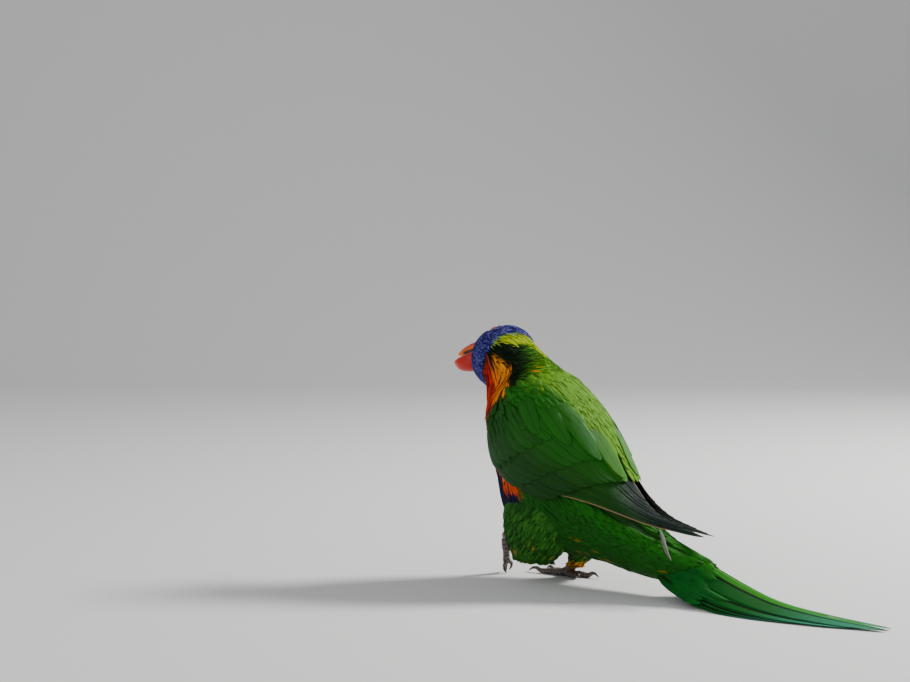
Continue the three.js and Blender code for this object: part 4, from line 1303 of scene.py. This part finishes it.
def limb_rings(run, count, step_in=0.0, around=24):
    """Rings along a run of middles and radii, each scale of the skin standing out at its end."""
    place = np.linspace(0, len(run) - 1, count)
    smooth = np.stack([smooth_run(column, place) for column in run.T], axis=1)
    middle, radius = smooth[:, :3], smooth[:, 3]
    way = np.gradient(middle, axis=0)
    way /= np.linalg.norm(way, axis=1, keepdims=True)
    beside = np.cross(way, [0, 0, 1])
    beside /= np.linalg.norm(beside, axis=1, keepdims=True)
    top = np.cross(beside, way)
    turn = np.linspace(0, 2 * np.pi, around, endpoint=False)
    part = (np.arange(count) % SCALE_STEPS) / SCALE_STEPS
    upper = blend(-0.3, 0.4, np.cos(turn))
    radius = radius[:, None] * (1 - step_in * (1 - part)[:, None] * upper)
    circle = np.cos(turn)[None, :, None] * top[:, None] + np.sin(turn)[None, :, None] * beside[:, None]
    rings = middle[:, None] + circle * radius[..., None]
    rings[..., 2] = np.maximum(rings[..., 2], 0)
    return rings, part


def scaly(name):
    """Scaly skin: painted colour with fine cells raised in it."""
    material = tinted(name, roughness=0.5)
    nodes, links = material.node_tree.nodes, material.node_tree.links
    grain = nodes.new("ShaderNodeTexVoronoi")
    grain.inputs["Scale"].default_value = CELLS
    where = nodes.new("ShaderNodeTexCoord")
    links.new(where.outputs["Object"], grain.inputs["Vector"])
    bump = nodes.new("ShaderNodeBump")
    bump.inputs["Strength"].default_value = 0.6
    bump.inputs["Distance"].default_value = CELL_RELIEF
    bump.invert = True
    links.new(grain.outputs["Distance"], bump.inputs["Height"])
    links.new(bump.outputs["Normal"], nodes["Principled BSDF"].inputs["Normal"])
    return material


scaly_skin = scaly("scaly skin")
claw_horn = tinted("claw horn", roughness=0.3, coat=0.2)
for side_name, (ball, shank, toes) in FEET.items():
    shank_run = np.array([[*at(*point[:3]), point[3]] for point in shank])
    limbs = [(shank_run, SHANK_RINGS, 0.0)]
    for heading, length, hang in toes:
        toe = toe_run(ball, heading, length, hang, TOE_PROFILE)
        limbs.append((toe, round(length / SCALE_LENGTH) * SCALE_STEPS, SCALE_STEP_IN))
    points, tints, faces = [], [], []
    for run, count, step_in in limbs:
        rings, part = limb_rings(run, count, step_in)
        faces += ring_faces(*rings.shape[:2], start=sum(len(each) for each in points))
        shade = mixed(SCALE_EDGE, FOOT_GREY, blend(0, 0.35, part))
        points.append(rings.reshape(-1, 3))
        tints.append(np.repeat(shade, rings.shape[1], axis=0))
    name = f"scaly_{side_name}_foot"
    foot = outward(make_mesh(name, np.concatenate(points), faces, scaly_skin, np.concatenate(tints)))
    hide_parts(f"foot_{side_name}")
    for number, (heading, length, hang) in enumerate(toes, start=1):
        run = toe_run(ball, heading, length, hang, CLAW_PROFILE)
        rings, _ = limb_rings(run, CLAW_RINGS, around=20)
        shade = mixed(CLAW_BLACK, CLAW_TIP, np.linspace(0, 1, CLAW_RINGS) ** 2)[:, None]
        claw = rings_mesh(f"claw_{side_name}_{number}", rings, claw_horn, shade)


# The stage, which isn't part of the bird: pale paper that sweeps up behind it, a lamp on either
# side under an even sky, and the camera at the photograph's angle.
CAMERA_PLACE = Vector((0.708, 0.5041, 0.165))
CAMERA_PITCH = math.radians(2.48)
CAMERA_LENS = 68.4
CAMERA_SENSOR = 36
UP = Vector((0, 0, 1))
SWEEP_FRONT = -3
SWEEP_BACK = 1.5
SWEEP_RADIUS = 0.8
SWEEP_TOP = 4
SWEEP_WIDE = 4.0
PAPER_COLOUR = (0.74, 0.73, 0.71, 1)
SKY_COLOUR = (0.92, 0.95, 1, 1)
SKY_STRENGTH = 0.5
LIT_PLACE = Vector((0, 0, 0.06))
LAMPS = [
    # name, to the right of the view, beyond the bird, above it, power, size
    ("key", 0.95, 0.45, 0.9, 32, 0.3),
    ("fill", -0.9, -0.9, 0.7, 4, 0.9),
]
look = Vector((-0.743, -0.669, 0)).normalized()
beside = look.cross(UP)

turn = np.linspace(0, np.pi / 2, 16)
back = SWEEP_BACK + SWEEP_RADIUS * np.sin(turn)
run = np.concatenate([[SWEEP_FRONT], back, [SWEEP_BACK + SWEEP_RADIUS]])
rise = np.concatenate([[0], SWEEP_RADIUS * (1 - np.cos(turn)), [SWEEP_TOP]])
corners = [
    look * float(ahead) + beside * wide + UP * float(up)
    for ahead, up in zip(run, rise)
    for wide in (-SWEEP_WIDE, SWEEP_WIDE)
]
strips = [(2 * i, 2 * i + 1, 2 * i + 3, 2 * i + 2) for i in range(len(run) - 1)]
sheet = bpy.data.meshes.new("paper sweep")
sheet.from_pydata(corners, [], strips)
sheet.shade_smooth()
floor = bpy.data.objects.new("paper sweep", sheet)
bpy.context.collection.objects.link(floor)
paper = bpy.data.materials.new("pale paper")
paper.use_nodes = True
paper.node_tree.nodes["Principled BSDF"].inputs["Base Color"].default_value = PAPER_COLOUR
paper.node_tree.nodes["Principled BSDF"].inputs["Roughness"].default_value = 0.9
sheet.materials.append(paper)

world = bpy.data.worlds.new("studio")
world.use_nodes = True
world.node_tree.nodes["Background"].inputs["Color"].default_value = SKY_COLOUR
world.node_tree.nodes["Background"].inputs["Strength"].default_value = SKY_STRENGTH
bpy.context.scene.world = world
for name, right, beyond_bird, above, power, size in LAMPS:
    lamp = bpy.data.lights.new(name, "AREA")
    lamp.energy = power
    lamp.size = size
    light = bpy.data.objects.new(name, lamp)
    light.location = beside * right + look * beyond_bird + UP * above
    light.rotation_euler = (LIT_PLACE - light.location).to_track_quat("-Z", "Y").to_euler()
    bpy.context.collection.objects.link(light)

camera_data = bpy.data.cameras.new("camera")
camera_data.lens = CAMERA_LENS
camera_data.sensor_width = CAMERA_SENSOR
camera = bpy.data.objects.new("camera", camera_data)
camera.location = CAMERA_PLACE
camera.rotation_euler = (look - UP * math.tan(CAMERA_PITCH)).to_track_quat("-Z", "Y").to_euler()
bpy.context.collection.objects.link(camera)
bpy.context.scene.camera = camera
